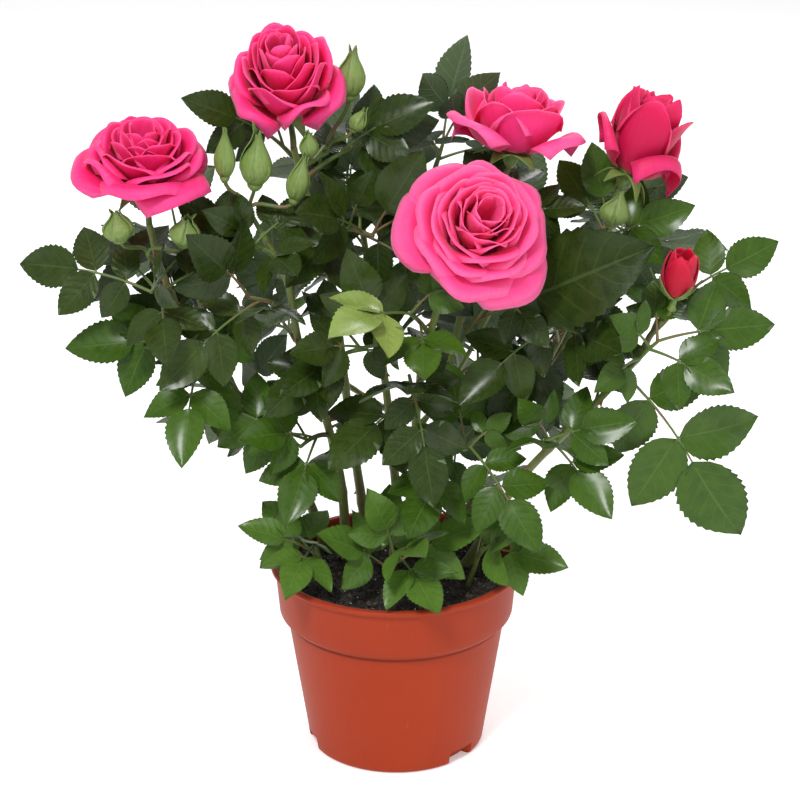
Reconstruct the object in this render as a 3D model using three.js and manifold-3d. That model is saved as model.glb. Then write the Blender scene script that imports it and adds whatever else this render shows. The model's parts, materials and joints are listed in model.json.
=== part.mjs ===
// A miniature rose bush in flower, growing in a round terracotta-coloured nursery pot.
//
// Sizes are millimetres. +Z is up, the pot stands on z = 0 with its axis on Z, and the show side
// of the plant faces -Y. A bearing runs anticlockwise from +X as seen from above, so 180 is the
// plant's left, 270 points at the viewer and 90 points away. A rise is an angle above the horizon.
// Both are degrees.
import * as THREE from "three";
import { mergeVertices } from "three/addons/utils/BufferGeometryUtils.js";
import Module from "manifold-3d";

const wasm = await Module();
wasm.setup();

// The pot
const potHeight = 93;
const potRimRadius = 60;
const potFootRadius = 42.5;
const potWall = 1.8;
const potFloor = 2.4;
const potBandHeight = 27; // the wide collar under the rim
const potBandRadius = 56; // at the foot of the collar
const potBodyRadius = 52; // of the body just under it
const potSides = 32;
const footNotches = 3; // drain slots cut into the edge of the foot
const footNotchWidth = 15;
const footNotchBearing = 317; // the first slot; the others follow evenly round the foot
const footNotchHeight = 6.5;

// The peat in it
const soilTop = 89;
const soilEdgeDrop = 4;

// Clearances between neighbours
const jointGap = 0.3;
const roomRoundWood = 1; // kept free round a stem, beyond its own radius
const roomRoundBlade = 2; // kept free round a leaflet's surface

// Canes: where each leaves the peat, the bends it passes, and its thickness at foot and tip.
const caneRadii = [2.3, 1.5];
const caneFlare = 1.1; // added at the very foot
const caneSteps = 9;
const canes = [
  {
    name: "cane_front_left",
    through: [
      [-24, 14, 84], [-26, 2, 132], [-33, -9, 170], [-44, -11, 205], [-49, -13, 236], [-60, -16, 260],
    ],
  },
  {
    name: "cane_left",
    through: [
      [-32, 22, 84], [-50, 12, 138], [-74, -4, 179], [-93, -10, 208], [-105, -14, 240], [-110, -16, 264],
    ],
  },
  {
    name: "cane_top_left",
    through: [[-13, 30, 84], [-22, 28, 150], [-30, 20, 225], [-41, 9, 272], [-46, 4, 294]],
  },
  {
    name: "cane_centre",
    through: [[3, 20, 84], [8, 10, 134], [11, -6, 185], [18, -22, 224], [25, -33, 246]],
  },
  {
    name: "cane_top_right",
    through: [
      [15, 37, 84], [22, 22, 118], [25, 6, 142], [22, -4, 156], [26, -6, 200], [39, 0, 250], [47, 2, 276],
    ],
  },
  {
    name: "cane_right",
    through: [[26, 22, 84], [46, 14, 140], [70, 6, 190], [88, 2, 232], [97, 0, 260]],
  },
  { name: "cane_far_right", through: [[32, 6, 84], [58, -10, 138], [90, -19, 178], [113, -21, 206]] },
  { name: "cane_back", through: [[2, 44, 84], [-4, 56, 150], [-12, 68, 205], [-18, 78, 245]] },
];

// Boughs: one tapering limb each, from a point along a cane.
const boughRadii = [1.6, 1.1];
const boughSteps = 5;
const boughs = [
  { name: "bough_left_back", on: ["cane_left", 0.4], through: [[-86, 22, 194], [-98, 42, 224]] },
  { name: "bough_right_back", on: ["cane_right", 0.45], through: [[86, 24, 204], [104, 46, 228]] },
  { name: "bough_back_top", on: ["cane_back", 0.55], through: [[6, 66, 230], [18, 58, 268]] },
  { name: "bough_back_right", on: ["cane_back", 0.2], through: [[26, 66, 156], [52, 74, 204]] },
  { name: "bough_back_left", on: ["cane_back", 0.32], through: [[-26, 68, 158], [-50, 78, 176]] },
];

// Open flowers. at is the foot of the bloom, axis the way it looks, radius its spread, and cup how
// far its petals are still closed, from 0 for a flat rosette to 1 for a tight cup. One with a
// high heart is tall, by this many times.
const blooms = [
  {
    name: "bloom_front", on: ["cane_centre", 1],
    at: [33, -42, 262], axis: [0.14, -0.8, 0.58], radius: 34, cup: 0.1,
  },
  {
    name: "bloom_left", on: ["cane_left", 1],
    at: [-111, -19, 283], axis: [0.03, -0.27, 0.96], radius: 32.5, cup: 0.12,
  },
  {
    name: "bloom_top_left", on: ["cane_top_left", 1],
    at: [-48, 6, 312], axis: [-0.02, -0.6, 0.8], radius: 27, cup: 0.5, tall: 1.3,
  },
  {
    name: "bloom_top_right", on: ["cane_top_right", 1],
    at: [52, 4, 292], axis: [0.1, 0.1, 0.98], radius: 33, cup: 0.32,
  },
  {
    name: "bloom_right", on: ["cane_right", 1],
    at: [104, 1, 283], axis: [0.47, 0.16, 0.87], radius: 27, cup: 0.55, tall: 1.4,
  },
  {
    name: "bloom_opening", on: ["cane_far_right", 1],
    at: [125, -22, 232], axis: [0.16, -0.12, 0.97], radius: 11, cup: 1, tall: 2,
  },
];

// Green buds, each cluster on one stem. A bud is where its base sits, the way it points, its radius
// and its length to the tip of the sepals.
const budClusters = [
  {
    name: "buds_front_left", on: ["cane_front_left", 1], tip: [-65, -17, 270],
    buds: [
      { at: [-62, -22, 284], axis: [0.1, -0.14, 0.98], radius: 6.6, length: 28 },
      { at: [-75, -25, 288], axis: [0.04, -0.06, 1], radius: 4.2, length: 25 },
      { at: [-45, -19, 276], axis: [0.25, 0, 0.97], radius: 4.6, length: 24 },
    ],
  },
  {
    name: "buds_left", on: ["cane_left", 0.84], tip: [-110, -25, 252],
    buds: [
      { at: [-121, -34, 262], axis: [-0.1, -0.1, 1], radius: 6.4, length: 15 },
      { at: [-93, -34, 260], axis: [0.15, -0.2, 0.97], radius: 6.2, length: 15 },
    ],
  },
  {
    name: "buds_top_left", on: ["cane_top_left", 0.86], tip: [-31, 6, 291],
    buds: [
      { at: [-21, 10, 316], axis: [0.1, 0, 0.99], radius: 6.2, length: 24 },
      { at: [-38, -14, 295], axis: [-0.05, -0.3, 0.95], radius: 3.8, length: 13 },
      { at: [-19, 0, 303], axis: [0.5, 0, 0.86], radius: 3.4, length: 12 },
    ],
  },
  {
    name: "buds_right", on: ["cane_right", 0.86], tip: [93, -9, 256],
    buds: [{ at: [96, -13, 263], axis: [0.25, -0.1, 0.96], radius: 6, length: 17 }],
  },
];

// Leaf sprays: the limb and share of its length that the shoot leaves from, and the shoot's tip. On
// the show side leaves are the places that the leaves' tips reach, from the foot up. At the back three
// leaves fan out by rule, one to each side of a bearing and one up. lit is the bearing and rise of the
// light that the blades turn to. lone is the number of a leaf that has one large blade. A sprout stands
// on the peat, and has its foot there, not a share.
const sprays = [
  {
    name: "leaves_right_hanging", on: ["cane_far_right", 0.76], tip: [101, -30, 200], lit: [268, 12],
    leaves: [[152, -34, 112]],
  },
  {
    name: "leaves_right_outer", on: ["cane_far_right", 0.85], tip: [118, -30, 214], lit: [268, 24],
    leaves: [[90, -50, 196], [150, -46, 190], [171, -24, 214]],
  },
  {
    name: "leaves_far_right", on: ["cane_far_right", 0.93], tip: [124, -8, 222], lit: [264, 32],
    leaves: [[136, 36, 222], [176, -2, 248]],
  },
  {
    name: "leaves_right_low", on: ["cane_far_right", 0.5], tip: [66, -34, 166], lit: [268, 26],
    leaves: [[104, -46, 136], [108, -46, 178]],
  },
  {
    name: "leaves_right_big", on: ["cane_top_right", 0.66], tip: [46, -24, 236], lit: [268, 30],
    leaves: [[122, -36, 241], [66, -40, 212]], lone: 0,
  },
  {
    name: "leaves_right_top", on: ["cane_right", 0.84], tip: [96, 10, 258], lit: [266, 26],
    leaves: [[142, -8, 266], [78, 26, 286], [90, 14, 308]], lone: 2,
  },
  {
    name: "leaves_right_inner", on: ["cane_right", 0.56], tip: [72, -14, 216], lit: [268, 28],
    leaves: [[60, -42, 172], [112, -44, 212], [26, -46, 198]],
  },
  {
    name: "leaves_front_low", on: ["cane_top_right", 0.36], tip: [34, -34, 164], lit: [268, 30],
    leaves: [[6, -60, 128], [80, -56, 178], [64, -62, 122]],
  },
  {
    name: "leaves_centre_low", on: ["cane_centre", 0.4], tip: [6, -32, 198], lit: [268, 34],
    leaves: [[-14, -60, 156], [42, -62, 196], [20, -66, 150]],
  },
  {
    name: "leaves_centre_left", on: ["cane_front_left", 0.52], tip: [-8, -30, 212], lit: [268, 32],
    leaves: [[-48, -50, 178], [-22, -62, 188], [-44, -52, 222], [-22, -46, 256]],
  },
  {
    name: "leaves_centre_young", on: ["cane_centre", 0.66], tip: [6, -40, 230], lit: [264, 46],
    leaves: [[12, -66, 198], [-42, -56, 240]],
  },
  {
    name: "leaves_centre_top", on: ["cane_top_left", 0.62], tip: [-10, -8, 256], lit: [268, 30],
    leaves: [[-38, -46, 218], [34, -14, 218], [-42, -44, 274], [16, -30, 293]], lone: 3,
  },
  {
    name: "leaves_top_centre", on: ["cane_top_left", 0.8], tip: [-20, 10, 292], lit: [264, 42],
    leaves: [[20, 26, 294], [18, 2, 313], [-6, 52, 292]],
  },
  {
    name: "leaves_top_right", on: ["cane_top_right", 0.86], tip: [58, 10, 262], lit: [266, 36],
    leaves: [[72, -16, 236], [30, 30, 284], [84, 22, 262], [62, 50, 284]],
  },
  {
    name: "leaves_left_top", on: ["cane_left", 0.74], tip: [-109, -28, 236], lit: [268, 30],
    leaves: [[-122, -58, 216], [-146, 22, 262], [-168, -16, 257]],
  },
  {
    name: "leaves_left_low", on: ["cane_left", 0.52], tip: [-94, -18, 208], lit: [268, 32],
    leaves: [[-110, -54, 164], [-140, -36, 226], [-150, -20, 202]],
  },
  {
    name: "leaves_left_inner", on: ["cane_front_left", 0.7], tip: [-66, -24, 232], lit: [268, 26],
    leaves: [[-56, -60, 202], [-108, -54, 208], [-100, -50, 264]],
  },
  {
    name: "leaves_left_bud", on: ["cane_front_left", 0.9], tip: [-66, -26, 258], lit: [266, 34],
    leaves: [[-38, -52, 246], [-100, -30, 276]],
  },
  {
    name: "leaves_top_left", on: ["cane_top_left", 0.9], tip: [-56, 14, 296], lit: [264, 30],
    leaves: [[-78, 38, 298], [-96, 2, 313]],
  },
  {
    name: "leaves_mid_left", on: ["cane_front_left", 0.34], tip: [-44, -24, 160], lit: [268, 28],
    leaves: [[-78, -52, 126], [-96, -2, 160], [-90, -42, 188]],
  },
  {
    name: "leaves_middle_left", on: ["cane_top_left", 0.46], tip: [-30, 40, 226],
    lit: [110, 52], fan: { bearing: 135, spread: 100, rise: -5, length: 46 },
  },
  {
    name: "leaves_middle", on: ["cane_back", 0.46], tip: [12, 44, 206],
    lit: [80, 52], fan: { bearing: 20, spread: 110, rise: 0, length: 46 },
  },
  {
    name: "sprout_front", on: ["soil", [-4, -22]], tip: [0, -34, 112], lit: [268, 48],
    leaves: [[-34, -58, 112], [32, -62, 116], [-8, -42, 154], [12, -72, 92]],
  },
  {
    name: "sprout_left", on: ["soil", [-32, -16]], tip: [-38, -20, 110], lit: [266, 46],
    leaves: [[-62, 8, 124], [-72, -32, 116], [-36, -60, 100]],
  },
  {
    name: "sprout_right", on: ["soil", [34, -18]], tip: [40, -24, 110], lit: [266, 46],
    leaves: [[64, 8, 126], [56, -62, 130], [78, -42, 104]],
  },
  {
    name: "sprout_back", on: ["soil", [24, 42]], tip: [28, 50, 112],
    lit: [80, 46], fan: { bearing: 70, spread: 110, rise: 20, length: 48 },
  },
  {
    name: "leaves_back_left", on: ["bough_left_back", 1], tip: [-104, 48, 238],
    lit: [110, 40], fan: { bearing: 130, spread: 72, rise: -8, length: 55 },
  },
  {
    name: "leaves_back_right", on: ["bough_right_back", 1], tip: [110, 54, 240],
    lit: [70, 40], fan: { bearing: 50, spread: 72, rise: -8, length: 55 },
  },
  {
    name: "leaves_back_top", on: ["bough_back_top", 1], tip: [22, 56, 282],
    lit: [90, 50], fan: { bearing: 60, spread: 130, rise: 0, length: 52 },
  },
  {
    name: "leaves_back", on: ["cane_back", 1], tip: [-24, 84, 256],
    lit: [100, 42], fan: { bearing: 88, spread: 100, rise: -4, length: 56 },
  },
  {
    name: "leaves_back_mid", on: ["bough_back_right", 1], tip: [60, 80, 216],
    lit: [80, 40], fan: { bearing: 58, spread: 80, rise: -8, length: 60 },
  },
  {
    name: "leaves_back_low_left", on: ["bough_back_left", 1], tip: [-56, 82, 184],
    lit: [115, 36], fan: { bearing: 120, spread: 80, rise: -8, length: 56 },
  },
  {
    name: "leaves_back_low", on: ["bough_back_right", 0.5], tip: [46, 92, 160],
    lit: [70, 36], fan: { bearing: 75, spread: 90, rise: -8, length: 54 },
  },
  {
    name: "leaves_left_back", on: ["cane_left", 0.2], tip: [-64, 30, 158],
    lit: [150, 36], fan: { bearing: 150, spread: 70, rise: -8, length: 55 },
  },
  {
    name: "leaves_right_back", on: ["cane_right", 0.26], tip: [70, 32, 160],
    lit: [30, 36], fan: { bearing: 25, spread: 70, rise: -8, length: 55 },
  },
];

// A rose leaf, in shares of its length from foot to tip, and how its blades are cut.
const leafStalkShare = 0.54; // stalk and midrib, up to the foot of the end leaflet
const shortLeafStalkShare = 0.43;
const loneLeafStalkShare = 0.3; // of a leaf with one blade
const leafletPairs = [
  { at: 0.74, spread: 62, size: 0.84 },
  { at: 0.32, spread: 68, size: 0.68 },
];
const pairFootLength = 1.8; // how far a pair's feet run along the stalk
const leafletWidthShare = 0.66;
const leafletFold = 0.2; // how steeply the two halves rise from the midrib
const leafletRecurve = 0.12; // how far the tip bends down, as a share of the length
const leafletThickness = 0.9;
const leafArch = 0.3; // how strongly a leaf arches from its foot to its tip
const leafStalkWidth = 1.6;
const leafStalkThickness = 1.2;
const shootRadii = [1.35, 1.0];
const shortLeaf = 57; // leaves under this length have three leaflets
const leafShares = [0.45, 0.98]; // where a shoot's lowest and highest leaves stand on it
const fanTopRise = 62; // how steeply a fan's highest leaf rises

const green = new THREE.MeshStandardMaterial({ color: 0x23401d, roughness: 0.45 });
const freshGreen = new THREE.MeshStandardMaterial({ color: 0x4d7a2c, roughness: 0.5 });
const bark = new THREE.MeshStandardMaterial({ color: 0x4c5a2a, roughness: 0.6 });
const pink = new THREE.MeshStandardMaterial({ color: 0xe8307a, roughness: 0.55 });
const red = new THREE.MeshStandardMaterial({ color: 0xc8102e, roughness: 0.55 });
const terracotta = new THREE.MeshStandardMaterial({ color: 0xb04a2d, roughness: 0.7 });
const peat = new THREE.MeshStandardMaterial({ color: 0x1d1712, roughness: 1 });

const radians = Math.PI / 180;
const vector = ([x, y, z]) => new THREE.Vector3(x, y, z);
const towards = (bearing, rise) =>
  new THREE.Vector3(
    Math.cos(rise * radians) * Math.cos(bearing * radians),
    Math.cos(rise * radians) * Math.sin(bearing * radians),
    Math.sin(rise * radians),
  );

// A small seeded random source, so that every run grows the same plant.
function randomFrom(seed) {
  let state = seed >>> 0;
  return () => {
    state = (state + 0x6d2b79f5) >>> 0;
    let t = state;
    t = Math.imul(t ^ (t >>> 15), t | 1);
    t ^= t + Math.imul(t ^ (t >>> 7), t | 61);
    return ((t ^ (t >>> 14)) >>> 0) / 4294967296;
  };
}

// Solids and geometry

function solidOf(positions, faces) {
  return new wasm.Manifold(
    new wasm.Mesh({
      numProp: 3,
      vertProperties: new Float32Array(positions.flatMap((p) => [p.x, p.y, p.z])),
      triVerts: new Uint32Array(faces.flat()),
    }),
  );
}

function solidOfGeometry(geometry) {
  geometry.deleteAttribute("normal");
  geometry.deleteAttribute("uv");
  const merged = mergeVertices(geometry, 1e-4);
  return new wasm.Manifold(
    new wasm.Mesh({
      numProp: 3,
      vertProperties: new Float32Array(merged.attributes.position.array),
      triVerts: new Uint32Array(merged.index.array),
    }),
  );
}

// A turned solid about the Z axis, from its profile of radius and height, then placed.
function turned(profile, sides, placing = new THREE.Matrix4()) {
  const geometry = new THREE.LatheGeometry(profile.map(([r, z]) => new THREE.Vector2(r, z)), sides);
  return solidOfGeometry(geometry.rotateX(Math.PI / 2).applyMatrix4(placing));
}

function meshOf(name, solid, material) {
  const { vertProperties, triVerts } = solid.getMesh();
  const geometry = new THREE.BufferGeometry();
  geometry.setAttribute("position", new THREE.BufferAttribute(vertProperties, 3));
  geometry.setIndex(new THREE.BufferAttribute(triVerts, 1));
  geometry.computeVertexNormals();
  const mesh = new THREE.Mesh(geometry, material);
  mesh.name = name;
  return mesh;
}

const fuse = (solids) => solids.reduce((joined, solid) => joined.add(solid));

// The largest body of a fused solid: hollows that the fusing sealed are filled, scraps are dropped.
function mainBody(solid) {
  return solid.decompose().reduce((a, b) => (a.volume() > b.volume() ? a : b));
}

// A closed tube of flat-sided rings along a line of points, with a radius at each.
function tube(points, radii, sides) {
  const positions = [];
  const faces = [];
  let side = null;
  points.forEach((point, i) => {
    const along = points[Math.min(i + 1, points.length - 1)].clone().sub(points[Math.max(i - 1, 0)]);
    along.normalize();
    side ??= new THREE.Vector3(Math.abs(along.x) < 0.8 ? 1 : 0, Math.abs(along.x) < 0.8 ? 0 : 1, 0);
    side = side.clone().addScaledVector(along, -side.dot(along)).normalize();
    const across = along.clone().cross(side);
    for (let k = 0; k < sides; k++) {
      const turn = (2 * Math.PI * k) / sides;
      const place = point.clone().addScaledVector(side, radii[i] * Math.cos(turn));
      positions.push(place.addScaledVector(across, radii[i] * Math.sin(turn)));
    }
  });
  for (let i = 0; i + 1 < points.length; i++)
    for (let k = 0; k < sides; k++) {
      const a = i * sides + k;
      const b = i * sides + ((k + 1) % sides);
      faces.push([a, b, b + sides], [a, b + sides, a + sides]);
    }
  const last = (points.length - 1) * sides;
  for (let k = 1; k + 1 < sides; k++) faces.push([0, k + 1, k], [last, last + k, last + k + 1]);
  return solidOf(positions, faces);
}

// A cup of the given thickness round rows of points, each row a closed ring and the first the foot.
function ringSkin(rows, thickness) {
  const wide = rows[0].length;
  const layers = [0.5, -0.5].map((half) =>
    rows.map((row, r) =>
      row.map((point, c) => {
        const up = rows[Math.min(r + 1, rows.length - 1)][c].clone().sub(rows[Math.max(r - 1, 0)][c]);
        const across = row[(c + 1) % wide].clone().sub(row[(c + wide - 1) % wide]);
        return point.clone().addScaledVector(across.cross(up).normalize(), half * thickness);
      }),
    ),
  );
  const positions = layers.flat(2);
  const faces = [];
  const at = (layer, r, c) => (layer * rows.length + r) * wide + (c % wide);
  const quad = (a, b, c, d) => faces.push([a, b, c], [a, c, d]);
  const last = rows.length - 1;
  for (let c = 0; c < wide; c++) {
    for (let r = 0; r < last; r++) {
      quad(at(0, r, c), at(0, r, c + 1), at(0, r + 1, c + 1), at(0, r + 1, c));
      quad(at(1, r, c + 1), at(1, r, c), at(1, r + 1, c), at(1, r + 1, c + 1));
    }
    quad(at(0, last, c), at(0, last, c + 1), at(1, last, c + 1), at(1, last, c));
    quad(at(0, 0, c + 1), at(0, 0, c), at(1, 0, c), at(1, 0, c + 1));
  }
  return solidOf(positions, faces);
}

// Room that is already taken: small balls along the wood and over the blades and blooms.
const taken = [];

function takeRoom(owner, centre, radius) {
  taken.push({ owner, centre, radius });
}

function isFree(balls, isOwn) {
  return balls.every((ball) =>
    taken.every(
      (other) =>
        isOwn(other.owner) || ball.centre.distanceTo(other.centre) > ball.radius + other.radius,
    ),
  );
}

function along(points, share) {
  const place = share * (points.length - 1);
  const i = Math.min(Math.floor(place), points.length - 2);
  return points[i].clone().lerp(points[i + 1], place - i);
}

// Limbs: canes and boughs. Each limb keeps the line that others grow from.
const limbs = new Map();
const limbSides = 5;

function growLimb(name, through, [footRadius, tipRadius], steps, flare) {
  const curve = new THREE.CatmullRomCurve3(through, false, "catmullrom", 0.5);
  const points = [];
  const radii = [];
  for (let i = 0; i <= steps; i++) {
    const share = i / steps;
    points.push(curve.getPoint(share));
    radii.push(footRadius + (tipRadius - footRadius) * share + flare * Math.exp(-share * 14));
  }
  for (let i = 0; i <= 4 * steps; i++)
    takeRoom(name, along(points, i / (4 * steps)), footRadius + roomRoundWood);
  limbs.set(name, { points, radii });
  return tube(points, radii, limbSides);
}

// Cuts a stem clear of the limb that carries it, or level with the peat.
function cutClear(solid, parentName) {
  if (parentName === "soil") {
    const slab = new THREE.BoxGeometry(4 * potRimRadius, 4 * potRimRadius, 20);
    return solid.subtract(solidOfGeometry(slab.translate(0, 0, soilTop + jointGap - 10)));
  }
  const { points, radii } = limbs.get(parentName);
  const [before, tip] = points.slice(-2);
  const beyond = tip.clone().add(tip.clone().sub(before).setLength(jointGap));
  const gap = jointGap / Math.cos(Math.PI / limbSides);
  return solid.subtract(tube([...points.slice(0, -1), beyond], radii.map((r) => r + gap), limbSides));
}

// The line of a twig from its parent to a tip, bowed up a little, as points.
function twigLine(from, to, steps, bow) {
  const length = from.distanceTo(to);
  const height = 4 * bow * (length - Math.abs(to.z - from.z));
  const points = [];
  for (let i = 0; i <= steps; i++) {
    const share = i / steps;
    const point = from.clone().lerp(to, share);
    point.z += height * share * (1 - share);
    points.push(point);
  }
  return points;
}

const tapered = (count, [foot, tip]) =>
  Array.from({ length: count }, (_, i) => foot + ((tip - foot) * i) / (count - 1));

// Leaves

// A place on a leaflet's middle surface: x runs from its foot to its tip, y from side to side.
function leafletPoint({ foot, along, side, normal, length }, x, y) {
  const aside = length * leafletWidthShare * 1.31 * y * x ** 0.62 * (1 - x) ** 0.78;
  const lift = leafletFold * Math.abs(aside) - leafletRecurve * length * x * x;
  return foot
    .clone()
    .addScaledVector(along, length * x)
    .addScaledVector(side, aside)
    .addScaledVector(normal, lift);
}

// A leaflet's set on the stalk: turned aside from the leaf's own direction, dipped and rolled a little.
function setLeaflet(foot, axis, side, normal, turn, length, random) {
  const roll = 0.5 * (random() - 0.5);
  const dip = turn ? 0.05 + 0.25 * random() : 0;
  const along = axis
    .clone()
    .multiplyScalar(Math.cos(turn * radians))
    .addScaledVector(side, Math.sin(turn * radians))
    .addScaledVector(normal, -dip)
    .normalize();
  const up = normal.clone().addScaledVector(side, roll);
  up.addScaledVector(along, -up.dot(along)).normalize();
  return { foot, along, normal: up, side: up.clone().cross(along), length };
}

// How a leaf lies from its foot to its tip: the stations of its stalk, and the leaflets at them.
function leafPlan(foot, bearing, rise, length, lit, random, isLone) {
  const reach = towards(bearing, rise);
  const lift = towards(bearing, rise + 90);
  const station = (share) => {
    const centre = foot
      .clone()
      .addScaledVector(reach, length * share)
      .addScaledVector(lift, length * leafArch * share * (1 - share));
    const axis = reach.clone().addScaledVector(lift, leafArch * (1 - 2 * share)).normalize();
    const normal = lit.clone().addScaledVector(axis, -lit.dot(axis)).normalize();
    return { centre, axis, normal, side: normal.clone().cross(axis) };
  };
  const isShort = length < shortLeaf;
  const stalkShare = isLone ? loneLeafStalkShare : isShort ? shortLeafStalkShare : leafStalkShare;
  const full = length * (1 - stalkShare);
  const stations = [station(0)];
  const pairs = isLone ? [] : leafletPairs.slice(0, isShort ? 1 : 2).reverse();
  pairs.forEach(({ at, spread, size }) => {
    const share = at * stalkShare;
    const rear = station(share);
    const front = station(share + pairFootLength / length);
    rear.pair = [1, -1].map((hand) => {
      const middle = rear.centre.clone().lerp(front.centre, 0.5);
      middle.addScaledVector(rear.side, (hand * leafStalkWidth) / 2);
      const turn = hand * (spread + 12 * (random() - 0.5));
      return setLeaflet(middle, rear.axis, rear.side, rear.normal, turn, full * size, random);
    });
    stations.push(rear, front);
  });
  const end = station(stalkShare);
  stations.push(end);
  const last = setLeaflet(end.centre, end.axis, end.side, end.normal, 0, full, random);
  return { stations, last, leaflets: [...stations.flatMap(({ pair }) => pair ?? []), last] };
}

const bladeOutline = [[0.26, 1], [0.64, 1], [1, 0], [0.64, -1], [0.26, -1]];

// One closed skin round a leaf: a stalk of square section, with each blade let into a side of it.
function leafSolid({ stations, last }) {
  const positions = [];
  const faces = [];
  const put = (point) => positions.push(point) - 1;
  const quad = (a, b, c, d) => faces.push([a, b, c], [a, c, d]);
  const corners = stations.map(({ centre, side, normal }) =>
    [[1, 1], [-1, 1], [-1, -1], [1, -1]].map(([aside, up]) =>
      put(
        centre
          .clone()
          .addScaledVector(side, (aside * leafStalkWidth) / 2)
          .addScaledVector(normal, (up * leafStalkThickness) / 2),
      ),
    ),
  );
  // Lets a blade in between a rear and a front edge of the stalk, each edge a top and a bottom corner.
  const letIn = (leaflet, [rearTop, rearUnder], [frontTop, frontUnder]) => {
    const outline = bladeOutline.map(([x, y]) => put(leafletPoint(leaflet, x, y)));
    const middle = leafletPoint(leaflet, 0.46, 0);
    const top = put(middle.clone().addScaledVector(leaflet.normal, leafletThickness / 2));
    const under = put(middle.addScaledVector(leaflet.normal, -leafletThickness / 2));
    const above = [rearTop, ...outline, frontTop];
    const below = [rearUnder, ...outline, frontUnder];
    above.forEach((a, i) => {
      const next = (i + 1) % above.length;
      faces.push([top, above[next], a], [under, below[i], below[next]]);
    });
    faces.push([rearTop, outline[0], rearUnder], [frontTop, frontUnder, outline[4]]);
  };
  for (let k = 0; k + 1 < corners.length; k++) {
    const [leftTop, rightTop, rightUnder, leftUnder] = corners[k];
    const [nextLeftTop, nextRightTop, nextRightUnder, nextLeftUnder] = corners[k + 1];
    quad(rightTop, nextRightTop, nextLeftTop, leftTop);
    quad(leftUnder, nextLeftUnder, nextRightUnder, rightUnder);
    if (stations[k].pair) {
      letIn(stations[k].pair[0], [leftTop, leftUnder], [nextLeftTop, nextLeftUnder]);
      letIn(stations[k].pair[1], [nextRightTop, nextRightUnder], [rightTop, rightUnder]);
    } else {
      quad(leftTop, nextLeftTop, nextLeftUnder, leftUnder);
      quad(nextRightTop, rightTop, rightUnder, nextRightUnder);
    }
  }
  const [leftTop, rightTop, rightUnder, leftUnder] = corners[0];
  quad(rightTop, leftTop, leftUnder, rightUnder);
  const end = corners.at(-1);
  letIn(last, [end[0], end[3]], [end[1], end[2]]);
  return solidOf(positions, faces);
}

function bladeBalls(leaflet) {
  const balls = [];
  for (const x of [0.2, 0.38, 0.56, 0.74, 0.9, 1])
    for (const y of x === 1 ? [0] : [-0.9, -0.45, 0, 0.45, 0.9])
      balls.push({ centre: leafletPoint(leaflet, x, y), radius: roomRoundBlade });
  return balls;
}

// The stalk's balls, but for the foot, which stands in its own shoot.
function stalkBalls(stations, foot) {
  const balls = [];
  for (let k = 0; k + 1 < stations.length; k++)
    for (const share of [0, 0.33, 0.67, 1]) {
      const centre = stations[k].centre.clone().lerp(stations[k + 1].centre, share);
      if (centre.distanceTo(foot) > 8) balls.push({ centre, radius: roomRoundWood });
    }
  return balls;
}

// Leaves keep out of the pot's wall and the peat, but may hang over the rim.
function clearsPot({ x, y, z }) {
  const out = Math.hypot(x, y);
  return z > potHeight + 3 || out > potRimRadius + 3 || (out < potRimRadius - 7 && z > soilTop + 3);
}

// Tries a leaf as planned, then turned and lifted a little each way, until it has room.
const nudges = [
  [0, 0], [9, 5], [-9, 5], [0, 13], [0, -13], [20, 0], [-20, 0],
  [16, 16], [-16, 16], [30, -8], [-30, -8], [0, 28], [44, 6], [-44, 6],
];

function placeLeaf(name, foot, tip, lit, random, isLone) {
  const reach = tip.clone().sub(foot);
  const bearing = Math.atan2(reach.y, reach.x) / radians;
  const rise = Math.asin(reach.z / reach.length()) / radians;
  const seed = Math.floor(random() * 1e6);
  for (const shrink of [1, 0.86, 0.72, 0.6])
    for (const [turn, lift] of nudges) {
      const length = reach.length() * shrink;
      const plan = leafPlan(foot, bearing + turn, rise + lift, length, lit, randomFrom(seed), isLone);
      const blades = plan.leaflets.flatMap(bladeBalls);
      const stalk = stalkBalls(plan.stations, foot);
      const clear = blades.every(({ centre }) => clearsPot(centre));
      if (clear && isFree(blades, () => false) && isFree(stalk, (owner) => owner === name)) {
        return { ...plan, blades, stalk };
      }
    }
  return null;
}

// A spray's one shoot, and then its leaves in the room that is left.
function growShoot({ name, on: [parentName, share], tip, lit, leaves, lone, fan }, index) {
  const foot =
    parentName === "soil" ? vector([...share, soilTop - 2]) : along(limbs.get(parentName).points, share);
  const points = twigLine(foot, vector(tip), 3, 0.1);
  for (let i = 1; i <= 6; i++) takeRoom(name, along(points, i / 6), shootRadii[0] + 0.6 * roomRoundWood);
  const random = randomFrom(1000 + 77 * index);
  return { name, parentName, random, points, lit: towards(...lit), leaves, lone, fan, placed: [] };
}

// The leaves of a shoot, each with its foot and where its tip should reach.
function leavesOf({ points, leaves, fan }) {
  const count = fan ? 3 : leaves.length;
  return Array.from({ length: count }, (_, i) => {
    const [lowest, highest] = leafShares;
    const foot = along(points, highest - ((highest - lowest) * (count - 1 - i)) / Math.max(1, count - 1));
    if (!fan) return { foot, tip: vector(leaves[i]) };
    const { bearing, spread, rise } = fan;
    const way = i === 2 ? towards(bearing, fanTopRise) : towards(bearing + spread * (i - 0.5), rise);
    return { foot, tip: foot.clone().addScaledVector(way, fan.length) };
  });
}

function growLeaves(spray) {
  const wanted = leavesOf(spray);
  for (let i = wanted.length - 1; i >= 0; i--) {
    const { foot, tip } = wanted[i];
    const placed = placeLeaf(spray.name, foot, tip, spray.lit, spray.random, i === spray.lone);
    if (!placed) continue;
    placed.blades.forEach(({ centre, radius }) => takeRoom(spray.name + i, centre, radius));
    placed.stalk.forEach(({ centre, radius }) => takeRoom(spray.name, centre, radius));
    spray.placed.push(placed);
  }
}

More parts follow.
